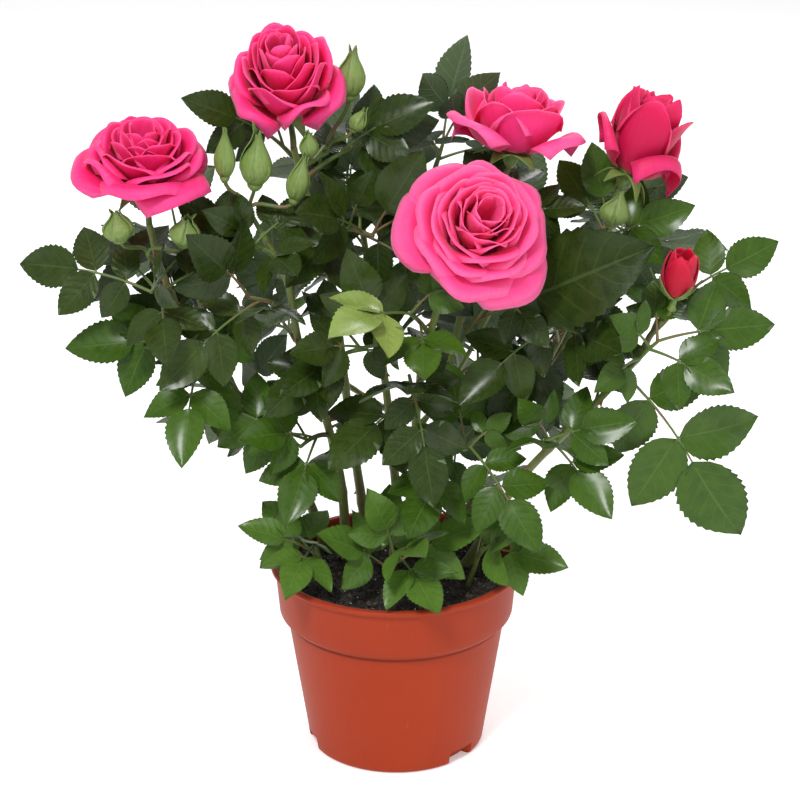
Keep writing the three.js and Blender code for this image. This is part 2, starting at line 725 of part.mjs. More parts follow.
function spraySolid({ parentName, points, placed }) {
  const pieces = [tube(points, tapered(points.length, shootRadii), 3), ...placed.map(leafSolid)];
  return mainBody(cutClear(fuse(pieces), parentName));
}

// Blooms

// Side profile of a petal, as four control points of radius and height, in shares of the bloom's
// spread: the innermost petal, one half way out, and the outermost.
const innerProfile = [[0.02, 0.06], [0.16, 0.2], [0.2, 0.62], [0.04, 0.94]];
const middleProfile = [[0.05, 0.03], [0.44, 0.06], [0.46, 0.5], [0.43, 0.8]];
const outerProfile = [[0.08, 0], [0.55, -0.04], [0.72, 0.42], [1, 0.3]];
const closedProfile = [[0.08, 0], [0.85, -0.05], [0.95, 0.66], [0.5, 1.02]];

function petalProfile(share, cup, v) {
  const outer = outerProfile.map(([r, z], i) => [
    r + (closedProfile[i][0] - r) * cup ** 2,
    z + (closedProfile[i][1] - z) * cup ** 2,
  ]);
  const weights = [2 * (share - 0.5) * (share - 1), -4 * share * (share - 1), 2 * share * (share - 0.5)];
  const bezier = [(1 - v) ** 3, 3 * v * (1 - v) ** 2, 3 * v * v * (1 - v), v ** 3];
  let radius = 0;
  let height = 0;
  [innerProfile, middleProfile, outer].forEach((profile, p) =>
    profile.forEach(([r, z], i) => {
      radius += weights[p] * bezier[i] * r;
      height += weights[p] * bezier[i] * z;
    }),
  );
  return [radius, height];
}

// A bloom's head: two rings of petals round a closed heart, on the round hip below them. Each ring is
// one skin, deepest at the middle of a petal and notched between two.
const petalRings = [
  { share: 1, count: 5, from: 18, notch: 0.2 },
  { share: 0.6, count: 4, from: 50, notch: 0.2 },
];
const petalThickness = 1.1;
const hipDepth = 7.5; // from the petals' foot down to the stalk

function petalRing({ share, count, from, notch }, radius, cup, tall, placing) {
  const columns = 2 * count;
  const rows = [0.08, 0.55, 1].map((v) =>
    Array.from({ length: columns }, (_, i) => {
      const turn = (from + (360 * i) / columns) * radians;
      const [r, z] = petalProfile(share, cup, v * (1 - notch * (i % 2)));
      const point = new THREE.Vector3(Math.cos(turn) * r, Math.sin(turn) * r, z * tall);
      return point.multiplyScalar(radius).applyMatrix4(placing);
    }),
  );
  return ringSkin(rows, petalThickness);
}

function bloomHead(radius, cup, tall, placing) {
  const rings = radius < 20 ? petalRings.slice(0, 1) : petalRings;
  const heart = [0, 0.4, 0.8].map((v) => {
    const [r, z] = petalProfile(0.25, cup, v);
    return [r * radius, z * radius * tall];
  });
  heart.unshift([0, heart[0][1] - 1]);
  heart.push([0, heart.at(-1)[1] - 0.1 * radius]);
  const hip = [
    [0, -hipDepth],
    [1.3, -hipDepth],
    [3.2, -4],
    [0.27 * radius, -0.6],
    [0.25 * radius, 1],
    [0, 0.1 * radius],
  ];
  const petals = rings.map((ring) => petalRing(ring, radius, cup, tall, placing));
  return fuse([...petals, turned(heart, 6, placing), turned(hip, 6, placing)]);
}

// The placing that stands a piece on a point, with its own +Z turned to an axis.
function standing(at, axis) {
  const turn = new THREE.Quaternion().setFromUnitVectors(new THREE.Vector3(0, 0, 1), axis);
  return new THREE.Matrix4().compose(at, turn, new THREE.Vector3(1, 1, 1));
}

// The line of a flower stalk: it leaves the limb's tip and comes to the flower along its axis.
function stalkLine(from, to, axis) {
  const reach = from.distanceTo(to) * 0.45;
  const curve = new THREE.CubicBezierCurve3(
    from,
    from.clone().add(new THREE.Vector3(0, 0, reach)),
    to.clone().addScaledVector(axis, -reach),
    to,
  );
  return curve.getPoints(3);
}

const flowerStalkRadii = [1.5, 1.3];

function growBloom({ name, on: [parentName, share], at, axis, radius, cup, tall = 1 }) {
  const way = vector(axis).normalize();
  const foot = vector(at);
  const from = along(limbs.get(parentName).points, share);
  const points = stalkLine(from, foot.clone().addScaledVector(way, 2.5 - hipDepth), way);
  points.forEach((point) => takeRoom(name, point, flowerStalkRadii[0] + roomRoundWood * 0.6));
  // The bloom's own room: one ball in its middle and a ring of small ones along its edge.
  takeRoom(name, foot.clone().addScaledVector(way, radius * 0.5), radius * 0.62);
  const out = 0.78 - 0.2 * cup;
  for (let i = 0; i < 10; i++) {
    const turn = i * 36 * radians;
    const edge = new THREE.Vector3(out * Math.cos(turn), out * Math.sin(turn), 0.55 + 0.3 * cup);
    takeRoom(name, edge.multiplyScalar(radius).applyMatrix4(standing(foot, way)), radius * 0.26);
  }
  return () => {
    const stalk = tube(points, tapered(points.length, flowerStalkRadii), 5);
    const head = bloomHead(radius, cup, tall, standing(foot, way));
    return mainBody(cutClear(head.add(stalk), parentName));
  };
}

// A bud: an egg drawn out to the tips of its sepals.
function budHead(radius, length, placing) {
  const profile = [[0, -0.1], [0.5, -0.04], [1, 0.28], [0.7, 0.54], [0.2, 0.76], [0, 1]];
  return turned(profile.map(([r, z]) => [r * radius, z * length]), 6, placing);
}

function growBuds({ name, on: [parentName, share], tip, buds }) {
  const foot = along(limbs.get(parentName).points, share);
  const stem = twigLine(foot, vector(tip), 2, 0);
  const stalks = buds.map(({ at, axis }) => stalkLine(vector(tip), vector(at), vector(axis).normalize()));
  const wood = [...stem.slice(1), ...stalks.flat()];
  wood.forEach((point) => takeRoom(name, point, 1 + roomRoundWood * 0.6));
  buds.forEach(({ at, axis, radius, length }) => {
    const way = vector(axis).normalize();
    takeRoom(name, vector(at).addScaledVector(way, length * 0.3), radius + 1.2);
    takeRoom(name, vector(at).addScaledVector(way, length * 0.7), radius * 0.4 + 1.2);
  });
  return () => {
    const pieces = [tube(stem, tapered(stem.length, [1.4, 1.2]), 4)];
    buds.forEach(({ at, axis, radius, length }, i) => {
      pieces.push(tube(stalks[i], tapered(stalks[i].length, [1.1, 0.9]), 3));
      pieces.push(budHead(radius, length, standing(vector(at), vector(axis).normalize())));
    });
    return mainBody(cutClear(fuse(pieces), parentName));
  };
}

// Pot and peat

function potSolid() {
  const bandFoot = potHeight - potBandHeight;
  const profile = [
    [0, 0],
    [potFootRadius - 1.5, 0],
    [potFootRadius, 1.5],
    [potBodyRadius, bandFoot - 2],
    [potBandRadius, bandFoot + 2.5],
    [potRimRadius - 2.2, potHeight - 3],
    [potRimRadius, potHeight - 2.2],
    [potRimRadius - 0.5, potHeight],
    [potRimRadius - 2.2 - potWall, potHeight],
    [potBandRadius - potWall, bandFoot + 4],
    [potBodyRadius - potWall, bandFoot - 1],
    [potFootRadius - potWall, potFloor + 6],
    [potFootRadius - potWall - 7, potFloor + 6],
    [0, potFloor],
  ];
  let pot = turned(profile, potSides);
  for (let i = 0; i < footNotches; i++) {
    const notch = new THREE.BoxGeometry(9, footNotchWidth, footNotchHeight * 2);
    notch.translate(potFootRadius, 0, 0);
    notch.rotateZ((footNotchBearing + (i * 360) / footNotches) * radians);
    pot = pot.subtract(solidOfGeometry(notch));
  }
  return pot;
}

function soilSolid() {
  const bandFoot = potHeight - potBandHeight;
  const inset = potWall + 1.4 * jointGap;
  const profile = [
    [0, potFloor + 2 * jointGap],
    [potFootRadius - inset - 7, potFloor + 6 + 2 * jointGap],
    [potFootRadius - inset, potFloor + 6 + 2 * jointGap],
    [potBodyRadius - inset, bandFoot - 1],
    [potBandRadius - inset, bandFoot + 4],
    [potBandRadius + 1 - inset, soilTop - soilEdgeDrop],
    [0.85 * potBandRadius, soilTop],
    [0, soilTop],
  ];
  return turned(profile, potSides);
}

// The whole plant: wood first, then flowers, then the leaves in the room that is left.
const bush = new THREE.Group();
bush.name = "rose_bush";
bush.add(meshOf("pot", potSolid(), terracotta));
bush.add(meshOf("soil", soilSolid(), peat));

canes.forEach(({ name, through }) => {
  const solid = growLimb(name, through.map(vector), caneRadii, caneSteps, caneFlare);
  bush.add(meshOf(name, cutClear(solid, "soil"), bark));
});
boughs.forEach(({ name, on: [parentName, share], through }) => {
  const foot = along(limbs.get(parentName).points, share);
  const solid = growLimb(name, [foot, ...through.map(vector)], boughRadii, boughSteps, 0);
  bush.add(meshOf(name, mainBody(cutClear(solid, parentName)), bark));
});

const flowers = [
  ...blooms.map((bloom) => [bloom, growBloom(bloom), bloom.radius < 20 ? red : pink]),
  ...budClusters.map((cluster) => [cluster, growBuds(cluster), freshGreen]),
];
flowers.forEach(([{ name }, solid, material]) => bush.add(meshOf(name, solid(), material)));

const shoots = sprays.map(growShoot);
shoots.forEach(growLeaves);
shoots.forEach((shoot) => {
  const fresh = shoot.parentName === "soil" || shoot.name.endsWith("young");
  bush.add(meshOf(shoot.name, spraySolid(shoot), fresh ? freshGreen : green));
});

export default bush;
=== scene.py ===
import json
import math

import bmesh
import bpy
import numpy as np
from mathutils import Matrix, Vector

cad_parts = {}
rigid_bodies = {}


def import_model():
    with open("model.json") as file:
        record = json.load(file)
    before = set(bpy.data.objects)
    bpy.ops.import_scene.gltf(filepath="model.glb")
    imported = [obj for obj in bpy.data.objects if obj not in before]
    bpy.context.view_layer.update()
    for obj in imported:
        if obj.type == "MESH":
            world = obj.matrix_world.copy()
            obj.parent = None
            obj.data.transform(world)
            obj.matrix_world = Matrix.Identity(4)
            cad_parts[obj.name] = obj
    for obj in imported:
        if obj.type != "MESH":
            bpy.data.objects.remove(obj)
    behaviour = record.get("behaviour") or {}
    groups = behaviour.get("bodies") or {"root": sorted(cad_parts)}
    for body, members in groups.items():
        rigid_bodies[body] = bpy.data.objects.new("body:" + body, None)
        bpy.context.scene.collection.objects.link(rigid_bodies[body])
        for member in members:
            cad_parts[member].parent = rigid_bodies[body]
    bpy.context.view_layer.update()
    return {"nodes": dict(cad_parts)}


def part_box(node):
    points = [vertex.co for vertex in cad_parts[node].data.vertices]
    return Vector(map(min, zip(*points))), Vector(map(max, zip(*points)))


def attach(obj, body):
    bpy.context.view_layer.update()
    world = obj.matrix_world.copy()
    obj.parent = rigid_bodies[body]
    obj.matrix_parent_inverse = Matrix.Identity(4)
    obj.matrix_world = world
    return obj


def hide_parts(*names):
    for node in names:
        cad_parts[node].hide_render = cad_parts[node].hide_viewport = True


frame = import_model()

# A miniature rose bush in a terracotta-coloured nursery pot. Working sizes are millimetres and
# turn into metres as a mesh is made. +Z is up, and the show side of the plant faces -Y.
mm = 0.001
print("frame loaded:", len(frame["nodes"]), "nodes")


# Node trees

class Wire:
    # one socket, so that shader maths reads as plain expressions
    def __init__(self, net, socket):
        self.net, self.socket = net, socket

    def out(self, name):
        return Wire(self.net, self.socket.node.outputs[name])

    def math(self, operation, *others, clamp=False):
        values = dict(enumerate((self,) + others))
        return self.net.add("ShaderNodeMath", {"operation": operation, "use_clamp": clamp}, values)

    def __add__(self, other):
        return self.math("ADD", other)

    def __sub__(self, other):
        return self.math("SUBTRACT", other)

    def __mul__(self, other):
        return self.math("MULTIPLY", other)

    def __pow__(self, other):
        return self.math("POWER", other)

    def __rsub__(self, other):
        return self.net.number(other).math("SUBTRACT", self)

    __radd__, __rmul__ = __add__, __mul__

    def __abs__(self):
        return self.math("ABSOLUTE")

    def fraction(self):
        return self.math("FRACT")

    def clamped(self):
        return self.math("ADD", 0.0, clamp=True)

    def above(self, low, high):
        # 0 under low, 1 over high, smooth between
        return self.net.add(
            "ShaderNodeMapRange", {"interpolation_type": "SMOOTHSTEP"},
            {"Value": self, "From Min": low, "From Max": high, "To Min": 0.0, "To Max": 1.0})


class Net:
    # a node tree, shader or geometry, with one way to add a node to it
    def __init__(self, tree):
        self.tree = tree

    def add(self, kind, settings=None, sockets=None, output=0):
        node = self.tree.nodes.new(kind)
        for name, value in (settings or {}).items():
            setattr(node, name, value)
        for key, value in (sockets or {}).items():
            if isinstance(value, Wire):
                self.tree.links.new(value.socket, node.inputs[key])
            else:
                node.inputs[key].default_value = value
        return Wire(self, node.outputs[output]) if node.outputs else node

    def number(self, value):
        wire = self.add("ShaderNodeValue")
        wire.socket.default_value = value
        return wire

    def parts(self, place):
        split = self.add("ShaderNodeSeparateXYZ", {}, {0: place})
        return [split.out(axis) for axis in "XYZ"]

    def surfacePlace(self):
        # the place on the piece's own surface, which its mesh carries
        return self.add("ShaderNodeAttribute", {"attribute_name": "place"}, output="Vector")

    def noise(self, place, scale, detail=3.0, roughness=0.55):
        # a scale of three numbers stretches the pattern
        if isinstance(scale, tuple):
            place = self.add("ShaderNodeVectorMath", {"operation": "MULTIPLY"}, {0: place, 1: scale})
            scale = 1.0
        values = {"Vector": place, "Scale": scale, "Detail": detail, "Roughness": roughness}
        return self.add("ShaderNodeTexNoise", {}, values, output="Fac")

    def mix(self, factor, first, second):
        first, second = (c if isinstance(c, Wire) else (*c, 1.0) for c in (first, second))
        return self.add(
            "ShaderNodeMix", {"data_type": "RGBA", "clamp_factor": True},
            {0: factor, 6: first, 7: second}, output=2)

    def named(self, name, kind):
        # a value that the mesh of a geometry tree carries
        return self.add("GeometryNodeInputNamedAttribute", {"data_type": kind}, {"Name": name})

    def bump(self, height, strength, distance):
        return self.add(
            "ShaderNodeBump", {}, {"Strength": strength, "Distance": distance, "Height": height})


def newMaterial(name, paint, fixed=None):
    # paint(net, object coordinates) gives the sockets that vary; fixed holds plain numbers
    material = bpy.data.materials.new(name)
    material.use_nodes = True
    net = Net(material.node_tree)
    net.tree.nodes.clear()
    place = net.add("ShaderNodeTexCoord").out("Object")
    surface = net.add("ShaderNodeBsdfPrincipled", {}, {**(fixed or {}), **paint(net, place)})
    net.add("ShaderNodeOutputMaterial", {}, {"Surface": surface})
    return material


def newTree(name, inputs):
    # a geometry tree with a named input for each size
    tree = bpy.data.node_groups.new(name, "GeometryNodeTree")
    tree.interface.new_socket("Geometry", in_out="OUTPUT", socket_type="NodeSocketGeometry")
    for title, kind in [("Geometry", "Geometry"), *inputs, ("Material", "Material")]:
        tree.interface.new_socket(title, in_out="INPUT", socket_type="NodeSocket" + kind)
    net = Net(tree)
    return net, net.add("NodeGroupInput")


def endTree(net, group, geometry):
    real = net.add("GeometryNodeRealizeInstances", {}, {0: geometry})
    painted = net.add("GeometryNodeSetMaterial", {}, {"Geometry": real, "Material": group.out("Material")})
    net.add("NodeGroupOutput", {}, {0: painted})
    return net.tree


def runTree(obj, tree, values):
    # evaluates the tree on the object and leaves its result as the object's plain mesh
    modifier = obj.modifiers.new("grow", "NODES")
    modifier.node_group = tree
    for item in tree.interface.items_tree:
        if item.in_out == "INPUT" and item.name in values:
            modifier[item.identifier] = values[item.name]
    depsgraph = bpy.context.evaluated_depsgraph_get()
    mesh = bpy.data.meshes.new_from_object(
        obj.evaluated_get(depsgraph), preserve_all_data_layers=True, depsgraph=depsgraph)
    obj.modifiers.remove(modifier)
    old, obj.data = obj.data, mesh
    bpy.data.meshes.remove(old)
    mesh.name = obj.name
    return obj


# Meshes

def newObject(name, data):
    obj = bpy.data.objects.new(name, data)
    bpy.context.scene.collection.objects.link(obj)
    return obj


class Heap:
    # points, faces and a surface place for each point, gathered into one mesh
    def __init__(self):
        self.points, self.faces, self.places, self.count = [], [], [], 0

    def put(self, points, faces, places=None):
        points = np.asarray(points, float).reshape(-1, 3)
        places = np.zeros(points.shape) if places is None else np.asarray(places, float).reshape(-1, 3)
        self.points.append(points)
        self.faces.extend([tuple(int(i) + self.count for i in face) for face in faces])
        self.places.append(places)
        self.count += len(points)

    def build(self, name, material):
        mesh = bpy.data.meshes.new(name)
        mesh.from_pydata((np.concatenate(self.points) * mm).tolist(), [], self.faces)
        layer = mesh.attributes.new("place", "FLOAT_VECTOR", "POINT")
        layer.data.foreach_set("vector", np.concatenate(self.places).ravel())
        mesh.polygons.foreach_set("use_smooth", [True] * len(mesh.polygons))
        mesh.materials.append(material)
        return newObject(name, mesh)


def gridFaces(rows, columns, closed=False):
    # the faces of a grid of points, row after row, its rows closed to rings if asked
    faces = []
    for row in range(0, (rows - 1) * columns, columns):
        for c in range(columns if closed else columns - 1):
            d = (c + 1) % columns
            faces.append((row + c, row + d, row + columns + d, row + columns + c))
    return faces


def unit(v):
    return v / np.linalg.norm(v)


def tubeRings(points, radii, sides, wobble):
    # rings round a line, with the side carried along it so that the skin does not twist
    points = np.asarray(points, float)
    rings, side = [], None
    turns = np.arange(sides) * 2 * math.pi / sides
    for i, point in enumerate(points):
        way = unit(points[min(i + 1, len(points) - 1)] - points[max(i - 1, 0)])
        if side is None:
            side = np.array([1.0, 0, 0]) if abs(way[0]) < 0.8 else np.array([0, 1.0, 0])
        side = unit(side - way * side.dot(way))
        across = np.cross(way, side)
        r = radii[i] * wobble(i, turns)
        rings.append(point + np.outer(np.cos(turns) * r, side) + np.outer(np.sin(turns) * r, across))
    return np.array(rings)


def putTube(heap, points, radii, sides, wobble):
    rings = tubeRings(points, radii, sides, wobble)
    last = (len(rings) - 1) * sides
    ends = [tuple(reversed(range(sides))), tuple(range(last, last + sides))]
    heap.put(rings, gridFaces(len(rings), sides, closed=True) + ends)


def putLathe(heap, profile, sides, matrix, shade):
    # a turned skin of radius and height rows, closed where its radius is nothing, then placed
    turns = np.arange(sides) * 2 * math.pi / sides
    rows, points, places = [], [], []
    for i, (r, z) in enumerate(profile):
        ring = [(0, 0, z)] if r < 1e-6 else [(r * math.cos(t), r * math.sin(t), z) for t in turns]
        rows.append(list(range(len(points), len(points) + len(ring))))
        points += ring
        places += [(i / (len(profile) - 1), 0, shade)] * len(ring)
    faces = []
    for low, high in zip(rows, rows[1:]):
        for k in range(sides):
            a, b = low[k % len(low)], low[(k + 1) % len(low)]
            c, d = high[(k + 1) % len(high)], high[k % len(high)]
            faces.append(tuple(dict.fromkeys((a, b, c, d))))
    heap.put(placed(points, matrix), [f for f in faces if len(f) > 2], places)


def placed(points, matrix):
    turn = np.array(matrix)
    return np.asarray(points, float) @ turn[:3, :3].T + turn[:3, 3]


def standing(at, axis):
    # the placing that stands a piece on a point, with its own +Z turned to an axis
    turn = Vector((0, 0, 1)).rotation_difference(Vector(axis).normalized())
    return Matrix.Translation(Vector(at)) @ turn.to_matrix().to_4x4()


# How the plant grows. A bearing runs anticlockwise from +X as seen from above, so 270 points at the
# viewer, and a rise is an angle above the horizon, both in degrees.
growth = dict(
    soilTop=89, rimHeight=93, rimRadius=60,
    potGap=3, rimInside=7,  # how far leaves stay from the pot, and inside its rim
    roomRoundWood=1, roomRoundTwig=0.6, roomRoundBlade=2, roomSearch=12,
    caneRadii=(2.3, 1.5), caneSteps=9, boughRadii=(1.6, 1.1), boughSteps=5, shootRadius=1.35,
    leafShares=(0.45, 0.98), fanTopRise=62,
)

# canes: the places that each passes, from the peat up
canes = {
    "cane_front_left": (
        (-24, 14, 84), (-26, 2, 132), (-33, -9, 170), (-44, -11, 205), (-49, -13, 236), (-60, -16, 260)),
    "cane_left": (
        (-32, 22, 84), (-50, 12, 138), (-74, -4, 179), (-93, -10, 208), (-105, -14, 240), (-110, -16, 264)),
    "cane_top_left": ((-13, 30, 84), (-22, 28, 150), (-30, 20, 225), (-41, 9, 272), (-46, 4, 294)),
    "cane_centre": ((3, 20, 84), (8, 10, 134), (11, -6, 185), (18, -22, 224), (25, -33, 246)),
    "cane_top_right": ((15, 37, 84), (22, 22, 118), (25, 6, 142), (22, -4, 156), (26, -6, 200),
        (39, 0, 250), (47, 2, 276)),
    "cane_right": ((26, 22, 84), (46, 14, 140), (70, 6, 190), (88, 2, 232), (97, 0, 260)),
    "cane_far_right": ((32, 6, 84), (58, -10, 138), (90, -19, 178), (113, -21, 206)),
    "cane_back": ((2, 44, 84), (-4, 56, 150), (-12, 68, 205), (-18, 78, 245)),
}

# boughs: where each leaves a cane, as a share of its length, and the places it passes
boughs = {
    "bough_left_back": (("cane_left", 0.4), ((-86, 22, 194), (-98, 42, 224))),
    "bough_right_back": (("cane_right", 0.45), ((86, 24, 204), (104, 46, 228))),
    "bough_back_top": (("cane_back", 0.55), ((6, 66, 230), (18, 58, 268))),
    "bough_back_right": (("cane_back", 0.2), ((26, 66, 156), (52, 74, 204))),
    "bough_back_left": (("cane_back", 0.32), ((-26, 68, 158), (-50, 78, 176))),
}

# open flowers: foot, the way each looks, spread, and how far its petals are still closed
blooms = {
    "bloom_front": dict(
        on=("cane_centre", 1), at=(33, -42, 262), axis=(0.14, -0.8, 0.58), radius=34, cup=0.1),
    "bloom_left": dict(
        on=("cane_left", 1), at=(-111, -19, 283), axis=(0.03, -0.27, 0.96), radius=32.5, cup=0.12),
    "bloom_top_left": dict(
        on=("cane_top_left", 1), at=(-48, 6, 312), axis=(-0.02, -0.6, 0.8), radius=27, cup=0.5, tall=1.3),
    "bloom_top_right": dict(
        on=("cane_top_right", 1), at=(52, 4, 292), axis=(0.1, 0.1, 0.98), radius=33, cup=0.32),
    "bloom_right": dict(
        on=("cane_right", 1), at=(104, 1, 283), axis=(0.47, 0.16, 0.87), radius=27, cup=0.55, tall=1.4),
    "bloom_opening": dict(
        on=("cane_far_right", 1), at=(125, -22, 232), axis=(0.16, -0.12, 0.97), radius=11, cup=1, tall=2),
}

# green buds, each cluster on one stem
budClusters = {
    "buds_front_left": dict(on=("cane_front_left", 1), tip=(-65, -17, 270), buds=(
        dict(at=(-62, -22, 284), axis=(0.1, -0.14, 0.98), radius=6.6, length=28),
        dict(at=(-75, -25, 288), axis=(0.04, -0.06, 1), radius=4.2, length=25),
        dict(at=(-45, -19, 276), axis=(0.25, 0, 0.97), radius=4.6, length=24),
    )),
    "buds_left": dict(on=("cane_left", 0.84), tip=(-110, -25, 252), buds=(
        dict(at=(-121, -34, 262), axis=(-0.1, -0.1, 1), radius=6.4, length=15),
        dict(at=(-93, -34, 260), axis=(0.15, -0.2, 0.97), radius=6.2, length=15),
    )),
    "buds_top_left": dict(on=("cane_top_left", 0.86), tip=(-31, 6, 291), buds=(
        dict(at=(-21, 10, 316), axis=(0.1, 0, 0.99), radius=6.2, length=24),
        dict(at=(-38, -14, 295), axis=(-0.05, -0.3, 0.95), radius=3.8, length=13),
        dict(at=(-19, 0, 303), axis=(0.5, 0, 0.86), radius=3.4, length=12),
    )),
    "buds_right": dict(on=("cane_right", 0.86), tip=(93, -9, 256), buds=(
        dict(at=(96, -13, 263), axis=(0.25, -0.1, 0.96), radius=6, length=17),
    )),
}

# leaf sprays: where the shoot leaves a limb, its tip, the light its blades turn to, and the places
# its leaves reach, or a fan of three leaves: bearing, spread, rise and length
sprays = {
    "leaves_right_hanging": dict(on=("cane_far_right", 0.76), tip=(101, -30, 200), lit=(268, 12),
        leaves=((152, -34, 112),)),
    "leaves_right_outer": dict(on=("cane_far_right", 0.85), tip=(118, -30, 214), lit=(268, 24),
        leaves=((90, -50, 196), (150, -46, 190), (171, -24, 214))),
    "leaves_far_right": dict(on=("cane_far_right", 0.93), tip=(124, -8, 222), lit=(264, 32),
        leaves=((136, 36, 222), (176, -2, 248))),
    "leaves_right_low": dict(on=("cane_far_right", 0.5), tip=(66, -34, 166), lit=(268, 26),
        leaves=((104, -46, 136), (108, -46, 178))),
    "leaves_right_big": dict(on=("cane_top_right", 0.66), tip=(46, -24, 236), lit=(268, 30),
        leaves=((122, -36, 241), (66, -40, 212)), lone=0),
    "leaves_right_top": dict(on=("cane_right", 0.84), tip=(96, 10, 258), lit=(266, 26),
        leaves=((142, -8, 266), (78, 26, 286), (90, 14, 308)), lone=2),
    "leaves_right_inner": dict(on=("cane_right", 0.56), tip=(72, -14, 216), lit=(268, 28),
        leaves=((60, -42, 172), (112, -44, 212), (26, -46, 198))),
    "leaves_front_low": dict(on=("cane_top_right", 0.36), tip=(34, -34, 164), lit=(268, 30),
        leaves=((6, -60, 128), (80, -56, 178), (64, -62, 122))),
    "leaves_centre_low": dict(on=("cane_centre", 0.4), tip=(6, -32, 198), lit=(268, 34),
        leaves=((-14, -60, 156), (42, -62, 196), (20, -66, 150))),
    "leaves_centre_left": dict(on=("cane_front_left", 0.52), tip=(-8, -30, 212), lit=(268, 32),
        leaves=((-48, -50, 178), (-22, -62, 188), (-44, -52, 222), (-22, -46, 256))),
    "leaves_centre_young": dict(on=("cane_centre", 0.66), tip=(6, -40, 230), lit=(264, 46),
        leaves=((12, -66, 198), (-42, -56, 240))),
    "leaves_centre_top": dict(on=("cane_top_left", 0.62), tip=(-10, -8, 256), lit=(268, 30),
        leaves=((-38, -46, 218), (34, -14, 218), (-42, -44, 274), (16, -30, 293)), lone=3),
    "leaves_top_centre": dict(on=("cane_top_left", 0.8), tip=(-20, 10, 292), lit=(264, 42),
        leaves=((20, 26, 294), (18, 2, 313), (-6, 52, 292))),
    "leaves_top_right": dict(on=("cane_top_right", 0.86), tip=(58, 10, 262), lit=(266, 36),
        leaves=((72, -16, 236), (30, 30, 284), (84, 22, 262), (62, 50, 284))),
    "leaves_left_top": dict(on=("cane_left", 0.74), tip=(-109, -28, 236), lit=(268, 30),
        leaves=((-122, -58, 216), (-146, 22, 262), (-168, -16, 257))),
    "leaves_left_low": dict(on=("cane_left", 0.52), tip=(-94, -18, 208), lit=(268, 32),
        leaves=((-110, -54, 164), (-140, -36, 226), (-150, -20, 202))),
    "leaves_left_inner": dict(on=("cane_front_left", 0.7), tip=(-66, -24, 232), lit=(268, 26),
        leaves=((-56, -60, 202), (-108, -54, 208), (-100, -50, 264))),
    "leaves_left_bud": dict(on=("cane_front_left", 0.9), tip=(-66, -26, 258), lit=(266, 34),
        leaves=((-38, -52, 246), (-100, -30, 276))),
    "leaves_top_left": dict(on=("cane_top_left", 0.9), tip=(-56, 14, 296), lit=(264, 30),
        leaves=((-78, 38, 298), (-96, 2, 313))),
    "leaves_mid_left": dict(on=("cane_front_left", 0.34), tip=(-44, -24, 160), lit=(268, 28),
        leaves=((-78, -52, 126), (-96, -2, 160), (-90, -42, 188))),
    "leaves_middle_left": dict(on=("cane_top_left", 0.46), tip=(-30, 40, 226), lit=(110, 52),
        fan=(135, 100, -5, 46)),
    "leaves_middle": dict(on=("cane_back", 0.46), tip=(12, 44, 206), lit=(80, 52), fan=(20, 110, 0, 46)),
    "sprout_front": dict(on=("soil", (-4, -22)), tip=(0, -34, 112), lit=(268, 48),
        leaves=((-34, -58, 112), (32, -62, 116), (-8, -42, 154), (12, -72, 92))),
    "sprout_left": dict(on=("soil", (-32, -16)), tip=(-38, -20, 110), lit=(266, 46),
        leaves=((-62, 8, 124), (-72, -32, 116), (-36, -60, 100))),
    "sprout_right": dict(on=("soil", (34, -18)), tip=(40, -24, 110), lit=(266, 46),
        leaves=((64, 8, 126), (56, -62, 130), (78, -42, 104))),
    "sprout_back": dict(on=("soil", (24, 42)), tip=(28, 50, 112), lit=(80, 46), fan=(70, 110, 20, 48)),
    "leaves_back_left": dict(on=("bough_left_back", 1), tip=(-104, 48, 238), lit=(110, 40),
        fan=(130, 72, -8, 55)),
    "leaves_back_right": dict(on=("bough_right_back", 1), tip=(110, 54, 240), lit=(70, 40),
        fan=(50, 72, -8, 55)),
    "leaves_back_top": dict(on=("bough_back_top", 1), tip=(22, 56, 282), lit=(90, 50), fan=(60, 130, 0, 52)),
    "leaves_back": dict(on=("cane_back", 1), tip=(-24, 84, 256), lit=(100, 42), fan=(88, 100, -4, 56)),
    "leaves_back_mid": dict(on=("bough_back_right", 1), tip=(60, 80, 216), lit=(80, 40),
        fan=(58, 80, -8, 60)),
    "leaves_back_low_left": dict(on=("bough_back_left", 1), tip=(-56, 82, 184), lit=(115, 36),
        fan=(120, 80, -8, 56)),
    "leaves_back_low": dict(on=("bough_back_right", 0.5), tip=(46, 92, 160), lit=(70, 36),
        fan=(75, 90, -8, 54)),
    "leaves_left_back": dict(
        on=("cane_left", 0.2), tip=(-64, 30, 158), lit=(150, 36), fan=(150, 70, -8, 55)),
    "leaves_right_back": dict(
        on=("cane_right", 0.26), tip=(70, 32, 160), lit=(30, 36), fan=(25, 70, -8, 55)),
}


def randomFrom(seed):
    # the seeded source that the solids grow from, so that leaves land in the same places
    state = seed
    full = 0xFFFFFFFF

    def draw():
        nonlocal state
        state = (state + 0x6D2B79F5) & full
        t = state
        t = ((t ^ (t >> 15)) * (t | 1)) & full
        t ^= (t + (((t ^ (t >> 7)) * (t | 61)) & full)) & full
        return ((t ^ (t >> 14)) & full) / 4294967296
    return draw


def vector(*v):
    return np.array(v if len(v) > 1 else v[0], float)


def towards(bearing, rise):
    b, r = math.radians(bearing), math.radians(rise)
    return vector(math.cos(r) * math.cos(b), math.cos(r) * math.sin(b), math.sin(r))


def along(points, share):
    place = share * (len(points) - 1)
    i = min(int(place), len(points) - 2)
    return points[i] + (points[i + 1] - points[i]) * (place - i)


def lineLength(points):
    return sum(np.linalg.norm(b - a) for a, b in zip(points, points[1:]))


